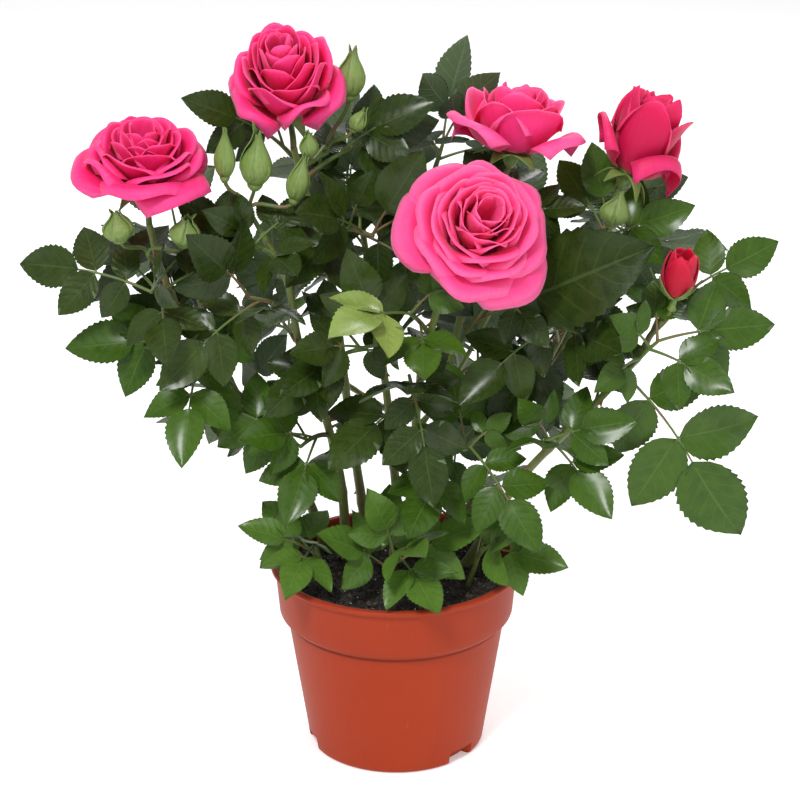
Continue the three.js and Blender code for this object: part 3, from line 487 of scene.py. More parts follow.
def smoothLine(places, share):
    # a smooth curve through all the places, at a share of its way
    places = [vector(p) for p in places]
    at = share * (len(places) - 1)
    i = min(int(at), len(places) - 2)
    w = at - i
    before = places[i - 1] if i else 2 * places[0] - places[1]
    after = places[i + 2] if i + 2 < len(places) else 2 * places[-1] - places[-2]
    start, end = places[i], places[i + 1]
    t0, t1 = (end - before) / 2, (after - start) / 2
    square, cube = 3 * end - 3 * start - 2 * t0 - t1, 2 * start - 2 * end + t0 + t1
    return start + t0 * w + square * w**2 + cube * w**3


# Room that is already taken: balls along the wood and over the blades and blooms.
taken = dict(centres=[], radii=[], owners=[])


def takeRoom(owner, centre, radius):
    taken["centres"].append(centre)
    taken["radii"].append(radius)
    taken["owners"].append(owner)


def roomNear(place, reach):
    # the taken balls about a place, as arrays
    centres, radii = np.array(taken["centres"]), np.array(taken["radii"])
    near = np.linalg.norm(centres - place, axis=1) < reach + radii + growth["roomSearch"]
    owners = np.array(taken["owners"])[near]
    return centres[near], radii[near], owners


def isFree(centres, radius, room, ownName=None):
    others, radii, owners = room
    if ownName is not None:
        others, radii = others[owners != ownName], radii[owners != ownName]
    if not len(others) or not len(centres):
        return True
    gaps = np.linalg.norm(centres[:, None, :] - others[None, :, :], axis=2)
    return bool((gaps > radius + radii[None, :]).all())


# limbs keep the coarse line that the solids have, for what grows on them, and their own smooth curve
limbs = {}


def growLimb(name, places, radii, steps):
    points = [smoothLine(places, i / steps) for i in range(steps + 1)]
    for i in range(4 * steps + 1):
        takeRoom(name, along(points, i / (4 * steps)), radii[0] + growth["roomRoundWood"])
    limbs[name] = dict(points=points, places=places, radii=radii)


for name, places in canes.items():
    growLimb(name, places, growth["caneRadii"], growth["caneSteps"])
for name, ((parent, share), places) in boughs.items():
    foot = along(limbs[parent]["points"], share)
    growLimb(name, (foot, *places), growth["boughRadii"], growth["boughSteps"])


flowerStalk = dict(radii=(1.5, 1.3), hipDepth=7.5, hipFoot=2.5, bend=0.45)
# room of a bloom, in shares of its spread: a ball in its heart and smaller ones under its edge
bloomRoom = dict(heartHeight=0.5, heart=0.62, edge=0.26, edgeCount=10)


def stalkLine(start, end, axis, steps):
    # leaves the limb's tip upwards and comes to the flower along its axis
    reach = np.linalg.norm(end - start) * flowerStalk["bend"]
    a, b = start + vector(0, 0, reach), end - axis * reach
    line = []
    for i in range(steps + 1):
        t = i / steps
        line.append(start * (1 - t)**3 + 3 * a * t * (1 - t)**2 + 3 * b * t * t * (1 - t) + end * t**3)
    return line


for name, bloom in blooms.items():
    way = unit(vector(bloom["axis"]))
    foot = vector(bloom["at"])
    start = along(limbs[bloom["on"][0]]["points"], bloom["on"][1])
    end = foot + way * (flowerStalk["hipFoot"] - flowerStalk["hipDepth"])
    bloom["stalk"] = stalkLine(start, end, way, 12)
    for point in stalkLine(start, end, way, 3):
        takeRoom(name, point, flowerStalk["radii"][0] + growth["roomRoundTwig"])
    radius, cup = bloom["radius"], bloom["cup"]
    takeRoom(name, foot + way * radius * bloomRoom["heartHeight"], radius * bloomRoom["heart"])
    out, count = 0.78 - 0.2 * cup, bloomRoom["edgeCount"]  # a closed bloom is narrower and taller
    turns = np.radians(np.arange(count) * 360 / count)
    edge = np.stack([out * np.cos(turns), out * np.sin(turns), np.full(count, 0.55 + 0.3 * cup)], 1)
    for point in placed(edge * radius, standing(foot, way)):
        takeRoom(name, point, radius * bloomRoom["edge"])

for name, cluster in budClusters.items():
    foot = along(limbs[cluster["on"][0]]["points"], cluster["on"][1])
    tip = vector(cluster["tip"])
    cluster["foot"] = foot
    wood = [foot + (tip - foot) * share for share in (0.5, 1)]
    for bud in cluster["buds"]:
        way = unit(vector(bud["axis"]))
        bud["stalk"] = stalkLine(tip, vector(bud["at"]), way, 8)
        wood += stalkLine(tip, vector(bud["at"]), way, 3)
    for point in wood:
        takeRoom(name, point, 1 + growth["roomRoundTwig"])
    for bud in cluster["buds"]:
        way = unit(vector(bud["axis"]))
        for share, wide in ((0.3, 1), (0.7, 0.4)):  # place on the bud, and width against its own
            takeRoom(name, vector(bud["at"]) + way * bud["length"] * share, bud["radius"] * wide + 1.2)


# A rose leaf, in shares of its length from foot to tip, and how its blades are cut.
leafCut = dict(
    stalkShare=0.54, shortStalkShare=0.43, shortLeaf=57, loneStalkShare=0.3,
    pairs=((0.32, 68, 0.68), (0.74, 62, 0.84)),  # place on the stalk, spread and size
    pairFootLength=1.8, stalkWidth=1.6, arch=0.3,
    widthShare=0.66, fold=0.2, recurve=0.12,
    bulge=1.31, footCurve=0.62, tipCurve=0.78,  # the outline, widest behind its middle
    rollSpread=0.5, leastDip=0.05, dipSpread=0.25, turnSpread=12, footClear=8,
)


def bladePoint(leaflet, x, y):
    foot, length = leaflet["foot"], leaflet["length"]
    bulge = leafCut["bulge"] * y * x**leafCut["footCurve"] * (1 - x)**leafCut["tipCurve"]
    aside = length * leafCut["widthShare"] * bulge
    lift = leafCut["fold"] * abs(aside) - leafCut["recurve"] * length * x * x
    return foot + leaflet["along"] * length * x + leaflet["side"] * aside + leaflet["normal"] * lift


def setLeaflet(foot, axis, side, normal, turn, length, draw):
    roll = leafCut["rollSpread"] * (draw() - 0.5)
    dip = leafCut["leastDip"] + leafCut["dipSpread"] * draw() if turn else 0
    t = math.radians(turn)
    way = unit(axis * math.cos(t) + side * math.sin(t) - normal * dip)
    up = normal + side * roll
    up = unit(up - way * up.dot(way))
    return dict(foot=foot, along=way, normal=up, side=np.cross(up, way), length=length)


def leafPlan(foot, bearing, rise, length, lit, draw, isLone):
    # how a leaf lies from its foot to its tip: the stations of its stalk, and its leaflets
    reach, lift = towards(bearing, rise), towards(bearing, rise + 90)

    def station(share):
        centre = foot + reach * length * share + lift * length * leafCut["arch"] * share * (1 - share)
        axis = unit(reach + lift * leafCut["arch"] * (1 - 2 * share))
        normal = unit(lit - axis * lit.dot(axis))
        return centre, axis, normal, np.cross(normal, axis)

    short = length < leafCut["shortLeaf"]
    stalkShare = leafCut["loneStalkShare" if isLone else "shortStalkShare" if short else "stalkShare"]
    full = length * (1 - stalkShare)
    stations, leaflets = [station(0)], []
    pairs = () if isLone else leafCut["pairs"][1:] if short else leafCut["pairs"]
    for place, spread, size in pairs:
        share = place * stalkShare
        rear, front = station(share), station(share + leafCut["pairFootLength"] / length)
        for hand in (1, -1):
            middle = (rear[0] + front[0]) / 2 + rear[3] * hand * leafCut["stalkWidth"] / 2
            turn = hand * (spread + leafCut["turnSpread"] * (draw() - 0.5))
            leaflets.append(setLeaflet(middle, rear[1], rear[3], rear[2], turn, full * size, draw))
        stations += [rear, front]
    end = station(stalkShare)
    stations.append(end)
    leaflets.append(setLeaflet(end[0], end[1], end[3], end[2], 0, full, draw))
    line = [station(stalkShare * i / 9)[0] for i in range(10)]
    return dict(stations=stations, leaflets=leaflets, line=line)


def bladeBalls(leaflet):
    spots = [(x, y) for x in (0.2, 0.38, 0.56, 0.74, 0.9) for y in (-0.9, -0.45, 0, 0.45, 0.9)]
    return [bladePoint(leaflet, x, y) for x, y in (*spots, (1, 0))]


def stalkBalls(stations, foot):
    # the stalk's balls, but for its foot, which stands in its own shoot
    balls = []
    for (a, *_), (b, *_) in zip(stations, stations[1:]):
        balls += [a + (b - a) * share for share in (0, 0.33, 0.67, 1)]
    return [ball for ball in balls if np.linalg.norm(ball - foot) > leafCut["footClear"]]


def clearsPot(centres):
    out, gap = np.hypot(centres[:, 0], centres[:, 1]), growth["potGap"]
    above = centres[:, 2] > growth["rimHeight"] + gap
    beside = out > growth["rimRadius"] + gap
    inside = (out < growth["rimRadius"] - growth["rimInside"]) & (centres[:, 2] > growth["soilTop"] + gap)
    return bool((above | beside | inside).all())


# how a leaf is turned and lifted, in degrees, until it has room
nudges = (
    (0, 0), (9, 5), (-9, 5), (0, 13), (0, -13), (20, 0), (-20, 0),
    (16, 16), (-16, 16), (30, -8), (-30, -8), (0, 28), (44, 6), (-44, 6),
)
fullShrinks = (1, 0.86, 0.72, 0.6)


def placeLeaf(
        name, foot, tip, lit, draw, isLone=False, shrinks=fullShrinks,
        bladeRoom=growth["roomRoundBlade"], within=None):
    # tries a leaf as planned, then turned and lifted a little each way, then shorter
    reach = tip - foot
    length = np.linalg.norm(reach)
    bearing = math.degrees(math.atan2(reach[1], reach[0]))
    rise = math.degrees(math.asin(reach[2] / length))
    seed = int(draw() * 1e6)
    room = roomNear(foot, length * 1.25)
    for shrink in shrinks:
        for turn, lift in nudges:
            plan = leafPlan(
                foot, bearing + turn, rise + lift, length * shrink, lit, randomFrom(seed), isLone)
            blades = np.array([ball for leaflet in plan["leaflets"] for ball in bladeBalls(leaflet)])
            if not clearsPot(blades) or (within is not None and not within(blades)):
                continue
            stalk = np.array(stalkBalls(plan["stations"], foot)).reshape(-1, 3)
            if isFree(blades, bladeRoom, room) and isFree(stalk, growth["roomRoundWood"], room, name):
                return dict(plan, blades=blades, stalk=stalk)
    return None


def keepRoom(name, number, leaf):
    for centre in leaf["blades"]:
        takeRoom(name + str(number), centre, growth["roomRoundBlade"])
    for centre in leaf["stalk"]:
        takeRoom(name, centre, growth["roomRoundWood"])


def twigLine(start, end, steps, bow):
    length = np.linalg.norm(end - start)
    height = 4 * bow * (length - abs(end[2] - start[2]))
    shares = [i / steps for i in range(steps + 1)]
    return [start + (end - start) * s + vector(0, 0, height * s * (1 - s)) for s in shares]


for name, spray in sprays.items():
    parent, share = spray["on"]
    if parent == "soil":  # the share is then a place on the peat
        spray["foot"] = vector(*share, growth["soilTop"] - 2)
    else:
        spray["foot"] = along(limbs[parent]["points"], share)
    spray["line"] = twigLine(spray["foot"], vector(spray["tip"]), 3, 0.1)
    for i in range(1, 7):
        takeRoom(name, along(spray["line"], i / 6), growth["shootRadius"] + growth["roomRoundTwig"])

for index, (name, spray) in enumerate(sprays.items()):
    draw = randomFrom(1000 + 77 * index)
    lit = towards(*spray["lit"])
    spray["placed"] = []
    low, high = growth["leafShares"]
    count = 3 if "fan" in spray else len(spray["leaves"])
    for i in reversed(range(count)):
        foot = along(spray["line"], high - (high - low) * (count - 1 - i) / max(1, count - 1))
        if "fan" in spray:
            bearing, spread, rise, length = spray["fan"]
            if i == 2:
                way = towards(bearing, growth["fanTopRise"])
            else:
                way = towards(bearing + spread * (i - 0.5), rise)
            tip = foot + way * length
        else:
            tip = vector(spray["leaves"][i])
        leaf = placeLeaf(name, foot, tip, lit, draw, isLone=i == spray.get("lone"))
        if leaf:
            keepRoom(name, i, leaf)
            spray["placed"].append(leaf)
print("leaves of the solids:", sum(len(s["placed"]) for s in sprays.values()))


# Finer leaves in the room that is left, each inside the reach of the sprays that the solids have.
fineGrowth = dict(
    seed=4021, perShoot=4, shootTop=0.95, shootStep=0.2, axilStep=12, fromHeight=150,
    length=(30, 46), leastRise=10, leastAxilRise=5, riseSpread=40, backFrom=30,
    bladeRoom=1.1, shrinks=(1, 0.8), margin=2,
)
goldenTurn = 137.5
reachBoxes = np.array([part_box(name) for name in sprays], float) / mm
reachLow = reachBoxes[:, 0] - fineGrowth["margin"]
reachHigh = reachBoxes[:, 1] + fineGrowth["margin"]


def withinReach(points):
    inside = (points[:, None] > reachLow).all(2) & (points[:, None] < reachHigh).all(2)
    return bool(inside.any(1).all())


def growFine(name, number, foot, outward, lit, draw):
    short, long = fineGrowth["length"]
    length = short + (long - short) * draw()
    leaf = placeLeaf(
        name, foot, foot + outward * length, lit, draw,
        shrinks=fineGrowth["shrinks"], bladeRoom=fineGrowth["bladeRoom"], within=withinReach)
    if leaf:
        keepRoom(name, "fine" + str(number), leaf)
    return leaf


draw = randomFrom(fineGrowth["seed"])
for name, spray in sprays.items():
    spray["fine"] = []
    lit = towards(*spray["lit"])
    heading = math.degrees(math.atan2(*(spray["line"][-1] - spray["line"][0])[1::-1]))
    for i in range(fineGrowth["perShoot"]):
        foot = along(spray["line"], fineGrowth["shootTop"] - fineGrowth["shootStep"] * i)
        bearing = heading + goldenTurn * (i + draw())
        outward = towards(bearing, fineGrowth["leastRise"] + fineGrowth["riseSpread"] * draw())
        leaf = growFine(name, i, foot, outward, lit, draw)
        if leaf:
            spray["fine"].append(leaf)

axils = {}
for name, limb in limbs.items():
    axils[name] = []
    length = lineLength(limb["points"])
    for i in range(int(length / fineGrowth["axilStep"])):
        foot = along(limb["points"], (i + 0.5) * fineGrowth["axilStep"] / length)
        if foot[2] < fineGrowth["fromHeight"]:
            continue
        bearing = goldenTurn * i + 90 * draw()
        hand = 1 if foot[1] < fineGrowth["backFrom"] else -1  # the back's blades turn away
        lit = unit(towards(bearing, 30) + vector(0, -0.6, 0.4) * hand)
        outward = towards(bearing, fineGrowth["leastAxilRise"] + fineGrowth["riseSpread"] * draw())
        leaf = growFine(name, i, foot, outward, lit, draw)
        if leaf:
            axils[name].append(leaf)
print("finer leaves:", sum(len(s["fine"]) for s in sprays.values()) + sum(len(a) for a in axils.values()))


# One leaflet of unit length, its foot at the origin, its tip on +X and its upper face to +Z. Each cell
# of its edge ends in one tooth that leans forward.
leafletShape = dict(
    rows=13, bulge=1.43, footCurve=0.62, tipCurve=0.96,
    tooth=0.085, toothLean=0.72, notch=-0.4, peak=0.6,  # notch and peak in shares of a tooth
    quilt=0.007, quiltRows=6, veins=6.5, veinSlant=1.6, groove=0.014, thick=0.012, ribThick=2.2,
)
leafletVariants = (
    dict(fold=0.8, recurve=0.9, bend=0.03, wave=0.020, phase=0.4),
    dict(fold=1.3, recurve=1.4, bend=-0.04, wave=0.012, phase=2.1),
    dict(fold=0.5, recurve=0.6, bend=0.00, wave=0.030, phase=3.9),
    dict(fold=1.0, recurve=1.8, bend=0.05, wave=0.022, phase=5.3),
)


def leafletPoint(variant, x, y, under, tooth):
    shape, across = leafletShape, abs(y)
    bulge = max(x, 1e-3)**shape["footCurve"] * max(1 - x, 1e-3)**shape["tipCurve"]
    aside = leafCut["widthShare"] * shape["bulge"] * y * bulge * (1 + tooth)
    z = leafCut["fold"] * variant["fold"] * abs(aside)
    z -= leafCut["recurve"] * variant["recurve"] * x * x
    z += variant["wave"] * math.sin(variant["phase"] + 7 * x + 2 * y) * across**2 * min(1, 4 * x)
    pillow = math.cos(2 * math.pi * (shape["quiltRows"] * x - shape["veinSlant"] * across))
    z += shape["quilt"] * pillow * 4 * across * (1 - across)
    z -= shape["groove"] * (y == 0)
    if under and across < 1:
        z -= shape["thick"] * min(1, 6 * x, 6 * (1 - x)) * (shape["ribThick"] if y == 0 else 1)
    return x, aside + variant["bend"] * x * x, z


def leafletSheet(variant, columns, under):
    rows, wide = leafletShape["rows"], len(columns)
    step = 1 / (rows - 1)
    lean, notch, peak = (leafletShape[key] for key in ("toothLean", "notch", "peak"))
    spots = [(i * step, y, notch) for i in range(rows) for y in columns]
    spots += [((i + lean) * step, y, peak) for i in range(rows - 1) for y in (columns[0], columns[-1])]
    points, places, faces = [], [], []
    for x, y, out in spots:
        tooth = leafletShape["tooth"] * out * min(1, 4 * x, 5 * (1 - x)) if abs(y) == 1 else 0
        points.append(leafletPoint(variant, x, y, under, tooth))
        places.append((x, y, 0))
    for i in range(rows - 1):
        for c in range(wide - 1):
            face = [i * wide + c, i * wide + c + 1, (i + 1) * wide + c + 1, (i + 1) * wide + c]
            tip = rows * wide + 2 * i
            if c == wide - 2:
                face.insert(2, tip + 1)
            if c == 0:
                face.append(tip)
            faces.append(tuple(face if under else reversed(face)))
    return points, faces, places


bareMaterial = bpy.data.materials.new("bare")  # on shapes that are only copied


def addShape(shapes, heap):
    # a shape that is only copied, kept out of the scene
    obj = heap.build(f"{shapes.name}{len(shapes.objects)}", bareMaterial)
    bpy.context.scene.collection.objects.unlink(obj)
    shapes.objects.link(obj)


def leafletCollection(name, columns, under):
    shapes = bpy.data.collections.new(name)
    for variant in leafletVariants:
        heap = Heap()
        heap.put(*leafletSheet(variant, columns, under))
        heap.points[0] = heap.points[0] / mm  # unit length, scaled by each copy
        addShape(shapes, heap)
    return shapes


def dropCollection(shapes):
    for obj in list(shapes.objects):
        bpy.data.meshes.remove(obj.data)
    bpy.data.collections.remove(shapes)


# Copies of a collection's shapes on points that carry turn, size, variant and tint.
net, group = newTree("setCopies", [("Shapes", "Collection"), ("Size", "Float")])
shapes = net.add("GeometryNodeCollectionInfo", {}, {
    "Collection": group.out("Shapes"), "Separate Children": True, "Reset Children": True})
turn = net.add("FunctionNodeEulerToRotation", {}, {0: net.named("turn", "FLOAT_VECTOR")})
copies = net.add("GeometryNodeInstanceOnPoints", {}, {
    "Points": group.out("Geometry"), "Instance": shapes, "Pick Instance": True,
    "Instance Index": net.named("variant", "INT"), "Rotation": turn,
    "Scale": net.named("size", "FLOAT") * group.out("Size")})
setCopies = endTree(net, group, copies)


def copyPiece(name, spots, shapes, material):
    # spots: rows of place in mm, (along, side, normal), size in mm, variant, tint
    mesh = bpy.data.meshes.new(name)
    mesh.from_pydata([tuple(spot[0] * mm) for spot in spots], [], [])
    turns = [angle for spot in spots for angle in Matrix(np.array(spot[1]).T.tolist()).to_euler()]
    mesh.attributes.new("turn", "FLOAT_VECTOR", "POINT").data.foreach_set("vector", turns)
    for i, (title, kind) in enumerate([("size", "FLOAT"), ("variant", "INT"), ("tint", "FLOAT")]):
        values = [spot[2 + i] * (mm if title == "size" else 1) for spot in spots]
        mesh.attributes.new(title, kind, "POINT").data.foreach_set("value", values)
    return runTree(newObject(name, mesh), setCopies, {"Shapes": shapes, "Size": 1.0, "Material": material})


# Round twigs along edges, as thick as each point says.
net, group = newTree("wrapTwigs", [("Sides", "Int"), ("Thickness", "Float")])
lines = net.add("GeometryNodeMeshToCurve", {}, {0: group.out("Geometry")})
ring = net.add("GeometryNodeCurvePrimitiveCircle", {}, {"Resolution": group.out("Sides"), "Radius": 1.0})
width = net.named("thick", "FLOAT") * group.out("Thickness")
skin = net.add("GeometryNodeCurveToMesh", {}, {
    "Curve": lines, "Profile Curve": ring, "Scale": width, "Fill Caps": True})
skin = net.add("GeometryNodeSetShadeSmooth", {}, {0: skin})
wrapTwigs = endTree(net, group, skin)


def twigPiece(name, lines, sides, material):
    # lines: rows of points in mm and their radii
    points, edges, radii = [], [], []
    for line, widths in lines:
        edges += [(len(points) + i, len(points) + i + 1) for i in range(len(line) - 1)]
        points += [tuple(p * mm) for p in line]
        radii += [w * mm for w in widths]
    mesh = bpy.data.meshes.new(name)
    mesh.from_pydata(points, edges, [])
    mesh.attributes.new("thick", "FLOAT", "POINT").data.foreach_set("value", radii)
    values = {"Sides": sides, "Thickness": 1.0, "Material": material}
    return runTree(newObject(name, mesh), wrapTwigs, values)


# Leaves. The leaflets of one tint are one piece, and the tints are dealt out by spray.
def leafVeins(net, veinEdges, ribEdges):
    # how far from the middle and from halfway between two side veins, the side veins, the midrib
    x, y, _ = net.parts(net.surfacePlace())
    across = abs(y)
    rows = x * leafletShape["veins"] - across * leafletShape["veinSlant"]
    fromVein = abs(rows.fraction() - 0.5)
    return across, fromVein, 1 - fromVein.above(*veinEdges), 1 - across.above(*ribEdges)


def leafPaint(dark, light, vein, shine):
    def paint(net, place):
        tint = net.add("ShaderNodeAttribute", {"attribute_name": "tint"}, output="Fac")
        across, fromVein, sideVein, midrib = leafVeins(net, (0.02, 0.09), (0.015, 0.06))
        mottle = net.noise(place, 900, 4) - 0.5
        broad = net.noise(place, 160, 2) - 0.5
        fine = net.noise(place, 2600, 3)
        veins = (sideVein * 0.4 * (1 - across.above(0.70, 0.95)) + midrib).clamped()
        green = net.mix((tint * 0.75 + broad * 0.9 + mottle * 0.5 + 0.12).clamped(), dark, light)
        relief = fromVein * 0.5 + veins * 0.3 + broad * 0.8 + fine * 0.14
        return {
            "Base Color": net.mix(veins * 0.42, green, vein),
            "Roughness": (mottle * 0.25 + broad * 0.3 + veins * 0.1 + shine).clamped(),
            "Normal": net.bump(relief, 0.55, 0.0010),
        }
    return paint


leafTints = {
    "Dark": dict(
        dark=(0.009, 0.021, 0.002), light=(0.033, 0.058, 0.007), vein=(0.060, 0.095, 0.022), shine=0.30),
    "Green": dict(
        dark=(0.022, 0.056, 0.003), light=(0.054, 0.115, 0.009), vein=(0.085, 0.160, 0.026), shine=0.36),
    "Fresh": dict(
        dark=(0.042, 0.098, 0.009), light=(0.088, 0.172, 0.024), vein=(0.120, 0.220, 0.045), shine=0.40),
    "Young": dict(
        dark=(0.135, 0.205, 0.035), light=(0.240, 0.335, 0.080), vein=(0.260, 0.350, 0.090), shine=0.20),
}
leafGloss = {"Coat Roughness": 0.22, "Specular IOR Level": 0.08, "Coat Weight": 0.3}
youngGloss = {**leafGloss, "Coat Weight": 0.8}
leafMaterials = {
    tint: newMaterial("leaf" + tint, leafPaint(**look), youngGloss if tint == "Young" else leafGloss)
    for tint, look in leafTints.items()}


def underPaint(net, place):
    _, _, sideVein, midrib = leafVeins(net, (0.03, 0.14), (0.03, 0.09))
    veins = (sideVein * 0.6 + midrib).clamped()
    mottle = net.noise(place, 700, 3)
    green = net.mix(mottle, (0.040, 0.075, 0.024), (0.070, 0.115, 0.042))
    return {
        "Base Color": net.mix(veins * 0.5, green, (0.12, 0.17, 0.07)),
        "Roughness": mottle * 0.2 + 0.52,
        "Normal": net.bump(veins + mottle * 0.3, 0.5, 0.0005),
    }


# the sprays of each tint; all others are dark
tintSprays = dict(
    Fresh=[name for name in sprays if name.startswith("sprout")],
    Young=["leaves_centre_young"],
    Green=[
        "leaves_right_hanging", "leaves_right_outer", "leaves_far_right", "leaves_right_low",
        "leaves_front_low", "leaves_mid_left", "leaves_left_low", "leaves_back_low",
        "leaves_back_low_left", "leaves_right_back", "leaves_left_back", "leaves_right_top",
        "leaves_back_right",
    ],
)


def tintOf(name):
    return next((tint for tint, names in tintSprays.items() if name in names), "Dark")


topShapes = leafletCollection("leafletTop", (-1, -0.55, 0, 0.55, 1), under=False)
underShapes = leafletCollection("leafletUnder", (-1, 0, 1), under=True)
leafStalk = dict(foot=0.78, tip=0.46, sides=6, ribShare=0.07, ribRadii=(0.34, 0.16))
spots = {tint: [] for tint in leafTints}
twigLines = []
draw = randomFrom(77)
grown = [(name, spray["placed"] + spray["fine"]) for name, spray in sprays.items()]
for name, leaves in (*grown, *axils.items()):
    for leaf in leaves:
        base = 0.25 + 0.5 * draw()
        kind = tintOf(name)
        if kind == "Young" and leaf is not sprays[name]["placed"][0]:
            kind = "Green"
        for leaflet in leaf["leaflets"]:
            axes = (leaflet["along"], leaflet["side"], leaflet["normal"])
            tint = min(1, max(0, base + 0.3 * (draw() - 0.5)))
            variant = int(draw() * len(leafletVariants))
            spots[kind].append((leaflet["foot"], axes, leaflet["length"], variant, tint))
        widths = np.linspace(leafStalk["foot"], leafStalk["tip"], len(leaf["line"]))
        twigLines.append((leaf["line"], widths))
        for leaflet in leaf["leaflets"][:-1]:
            foot = leaflet["foot"]
            rib = foot + leaflet["along"] * leaflet["length"] * leafStalk["ribShare"]
            nearest = min(leaf["stations"], key=lambda station: np.linalg.norm(station[0] - foot))
            twigLines.append(([nearest[0], foot, rib], [leafStalk["tip"], *leafStalk["ribRadii"]]))

leafPieces = {
    tint: copyPiece("leaves" + tint, rows, topShapes, leafMaterials[tint]) for tint, rows in spots.items()}
allSpots = [row for rows in spots.values() for row in rows]
under = copyPiece("leafUndersides", allSpots, underShapes, newMaterial("leafUnderside", underPaint))
dropCollection(topShapes)
dropCollection(underShapes)
print("leaflets:", {tint: len(rows) for tint, rows in spots.items()})


# Wood: shoots and leaf stalks as twigs, canes and boughs with nodes and a little relief.
def barkPaint(net, place):
    height = net.parts(place)[2]
    long = net.noise(place, (900.0, 900.0, 90.0), 4)
    broad = net.noise(place, 45, 3)
    speck = net.noise(place, 1500, 2).above(0.62, 0.70)
    old = 1 - height.above(0.095, 0.150)
    green = net.mix(long, (0.080, 0.125, 0.018), (0.190, 0.240, 0.045))
    flushed = net.mix((broad.above(0.46, 0.72) * 0.6).clamped(), green, (0.120, 0.060, 0.024))
    brown = net.mix(old * 0.40, flushed, (0.085, 0.060, 0.028))
    return {
        "Base Color": net.mix(speck * 0.35, brown, (0.20, 0.17, 0.10)),
        "Roughness": (long * 0.3 + 0.36).clamped(),
        "Normal": net.bump(long + speck * 0.4, 0.5, 0.0004),
    }


bark = newMaterial("caneBark", barkPaint, {"Coat Weight": 0.08, "Coat Roughness": 0.4})


def twigPaint(net, place):
    broad = net.noise(place, 60, 3)
    fine = net.noise(place, (1400.0, 1400.0, 500.0), 2)
    green = net.mix(fine, (0.048, 0.092, 0.012), (0.100, 0.155, 0.024))
    return {
        "Base Color": net.mix((broad.above(0.48, 0.66) * 0.65).clamped(), green, (0.170, 0.060, 0.035)),
        "Roughness": fine * 0.2 + 0.4,
        "Normal": net.bump(fine, 0.4, 0.0003),
    }


twigLook = dict(
    shootSteps=12, shootRadii=(1.35, 0.85), clusterRadii=(1.35, 1.25, 1.15), budRadii=(1.0, 0.85))
for spray in sprays.values():
    shares = np.arange(twigLook["shootSteps"] + 1) / twigLook["shootSteps"]
    line = [smoothLine(spray["line"], share) for share in shares]
    twigLines.append((line, np.linspace(*twigLook["shootRadii"], len(line))))
for bloom in blooms.values():
    twigLines.append((bloom["stalk"], np.linspace(*flowerStalk["radii"], len(bloom["stalk"]))))
for cluster in budClusters.values():
    foot, tip = cluster["foot"], vector(cluster["tip"])
    twigLines.append(([foot, (foot + tip) / 2, tip], twigLook["clusterRadii"]))
    for bud in cluster["buds"]:
        twigLines.append((bud["stalk"], np.linspace(*twigLook["budRadii"], len(bud["stalk"]))))
twigs = twigPiece("twigs", twigLines, leafStalk["sides"], newMaterial("twigSkin", twigPaint))

caneLook = dict(
    ringStep=1.6, sides=12, flare=1.1, flareFall=14, nodeStep=24, nodeSwell=0.16, nodeLength=1.7,
    ridge=0.025, thornStep=19, thornSize=(1.9, 1.2),
)
barkHeap = Heap()
thorns = []
draw = randomFrom(9)
for name, limb in limbs.items():
    length = lineLength(limb["points"])
    count = int(length / caneLook["ringStep"])
    line = [smoothLine(limb["places"], i / count) for i in range(count + 1)]
    start, tip = limb["radii"]
    phase = 6.3 * draw()
    radii = []
    for i in range(count + 1):
        share = i / count
        toNode = (share * length + phase * 3) % caneLook["nodeStep"] - caneLook["nodeStep"] / 2
        swell = caneLook["nodeSwell"] * math.exp(-(toNode / caneLook["nodeLength"])**2)
        flare = caneLook["flare"] * math.exp(-caneLook["flareFall"] * share) if name in canes else 0
        radii.append((start + (tip - start) * share + flare) * (0.97 + swell))

    def wobble(i, turns):
        return 1 + caneLook["ridge"] * np.sin(3 * turns + phase + i * 0.11)

    putTube(barkHeap, line, radii, caneLook["sides"], wobble)
    for _ in range(int(length / caneLook["thornStep"])):
        i = int(count * (0.12 + 0.8 * draw()))
        way = unit(line[i + 1] - line[i - 1])
        side = towards(360 * draw(), 0)
        side = unit(side - way * side.dot(way))
        up = unit(side * 0.9 - way * 0.25)
        fore = unit(np.cross(up, np.cross(way, up)))
        least, spread = caneLook["thornSize"]
        place, axes = line[i] + side * radii[i] * 0.86, (fore, np.cross(up, fore), up)
        thorns.append((place, axes, least + spread * draw(), 0, draw()))
canesAndBoughs = barkHeap.build("canesAndBoughs", bark)

# one prickle of unit height, on its foot at the origin, its tip hooked towards -X
thornShape = dict(
    sides=6, widths=((-0.15, 0.42), (0.0, 0.40), (0.35, 0.22), (0.7, 0.10), (1.0, 0.01)),
    long=1.5, thin=0.6, hook=0.35,
)
rows = []
turns = np.arange(thornShape["sides"]) * 2 * math.pi / thornShape["sides"]
for share, width in thornShape["widths"]:
    x = thornShape["long"] * width * np.cos(turns) - thornShape["hook"] * share**2
    rows.append(np.stack([x, thornShape["thin"] * width * np.sin(turns), np.full(len(turns), share)], 1))
thornHeap = Heap()
last = (len(rows) - 1) * len(turns)
tipFace = tuple(range(last, last + len(turns)))
thornHeap.put(np.array(rows) / mm, gridFaces(len(rows), len(turns), closed=True) + [tipFace])
thornShapes = bpy.data.collections.new("thornShapes")
addShape(thornShapes, thornHeap)


def thornPaint(net, place):
    tone = net.noise(place, 700, 2)
    return {
        "Base Color": net.mix(tone, (0.14, 0.035, 0.02), (0.30, 0.13, 0.05)),
        "Roughness": tone * 0.2 + 0.35,
    }


prickles = copyPiece("prickles", thorns, thornShapes, newMaterial("prickleHorn", thornPaint))
dropCollection(thornShapes)
print("wood:", len(limbs), "limbs,", len(twigLines), "twigs and stalks,", len(thorns), "prickles")


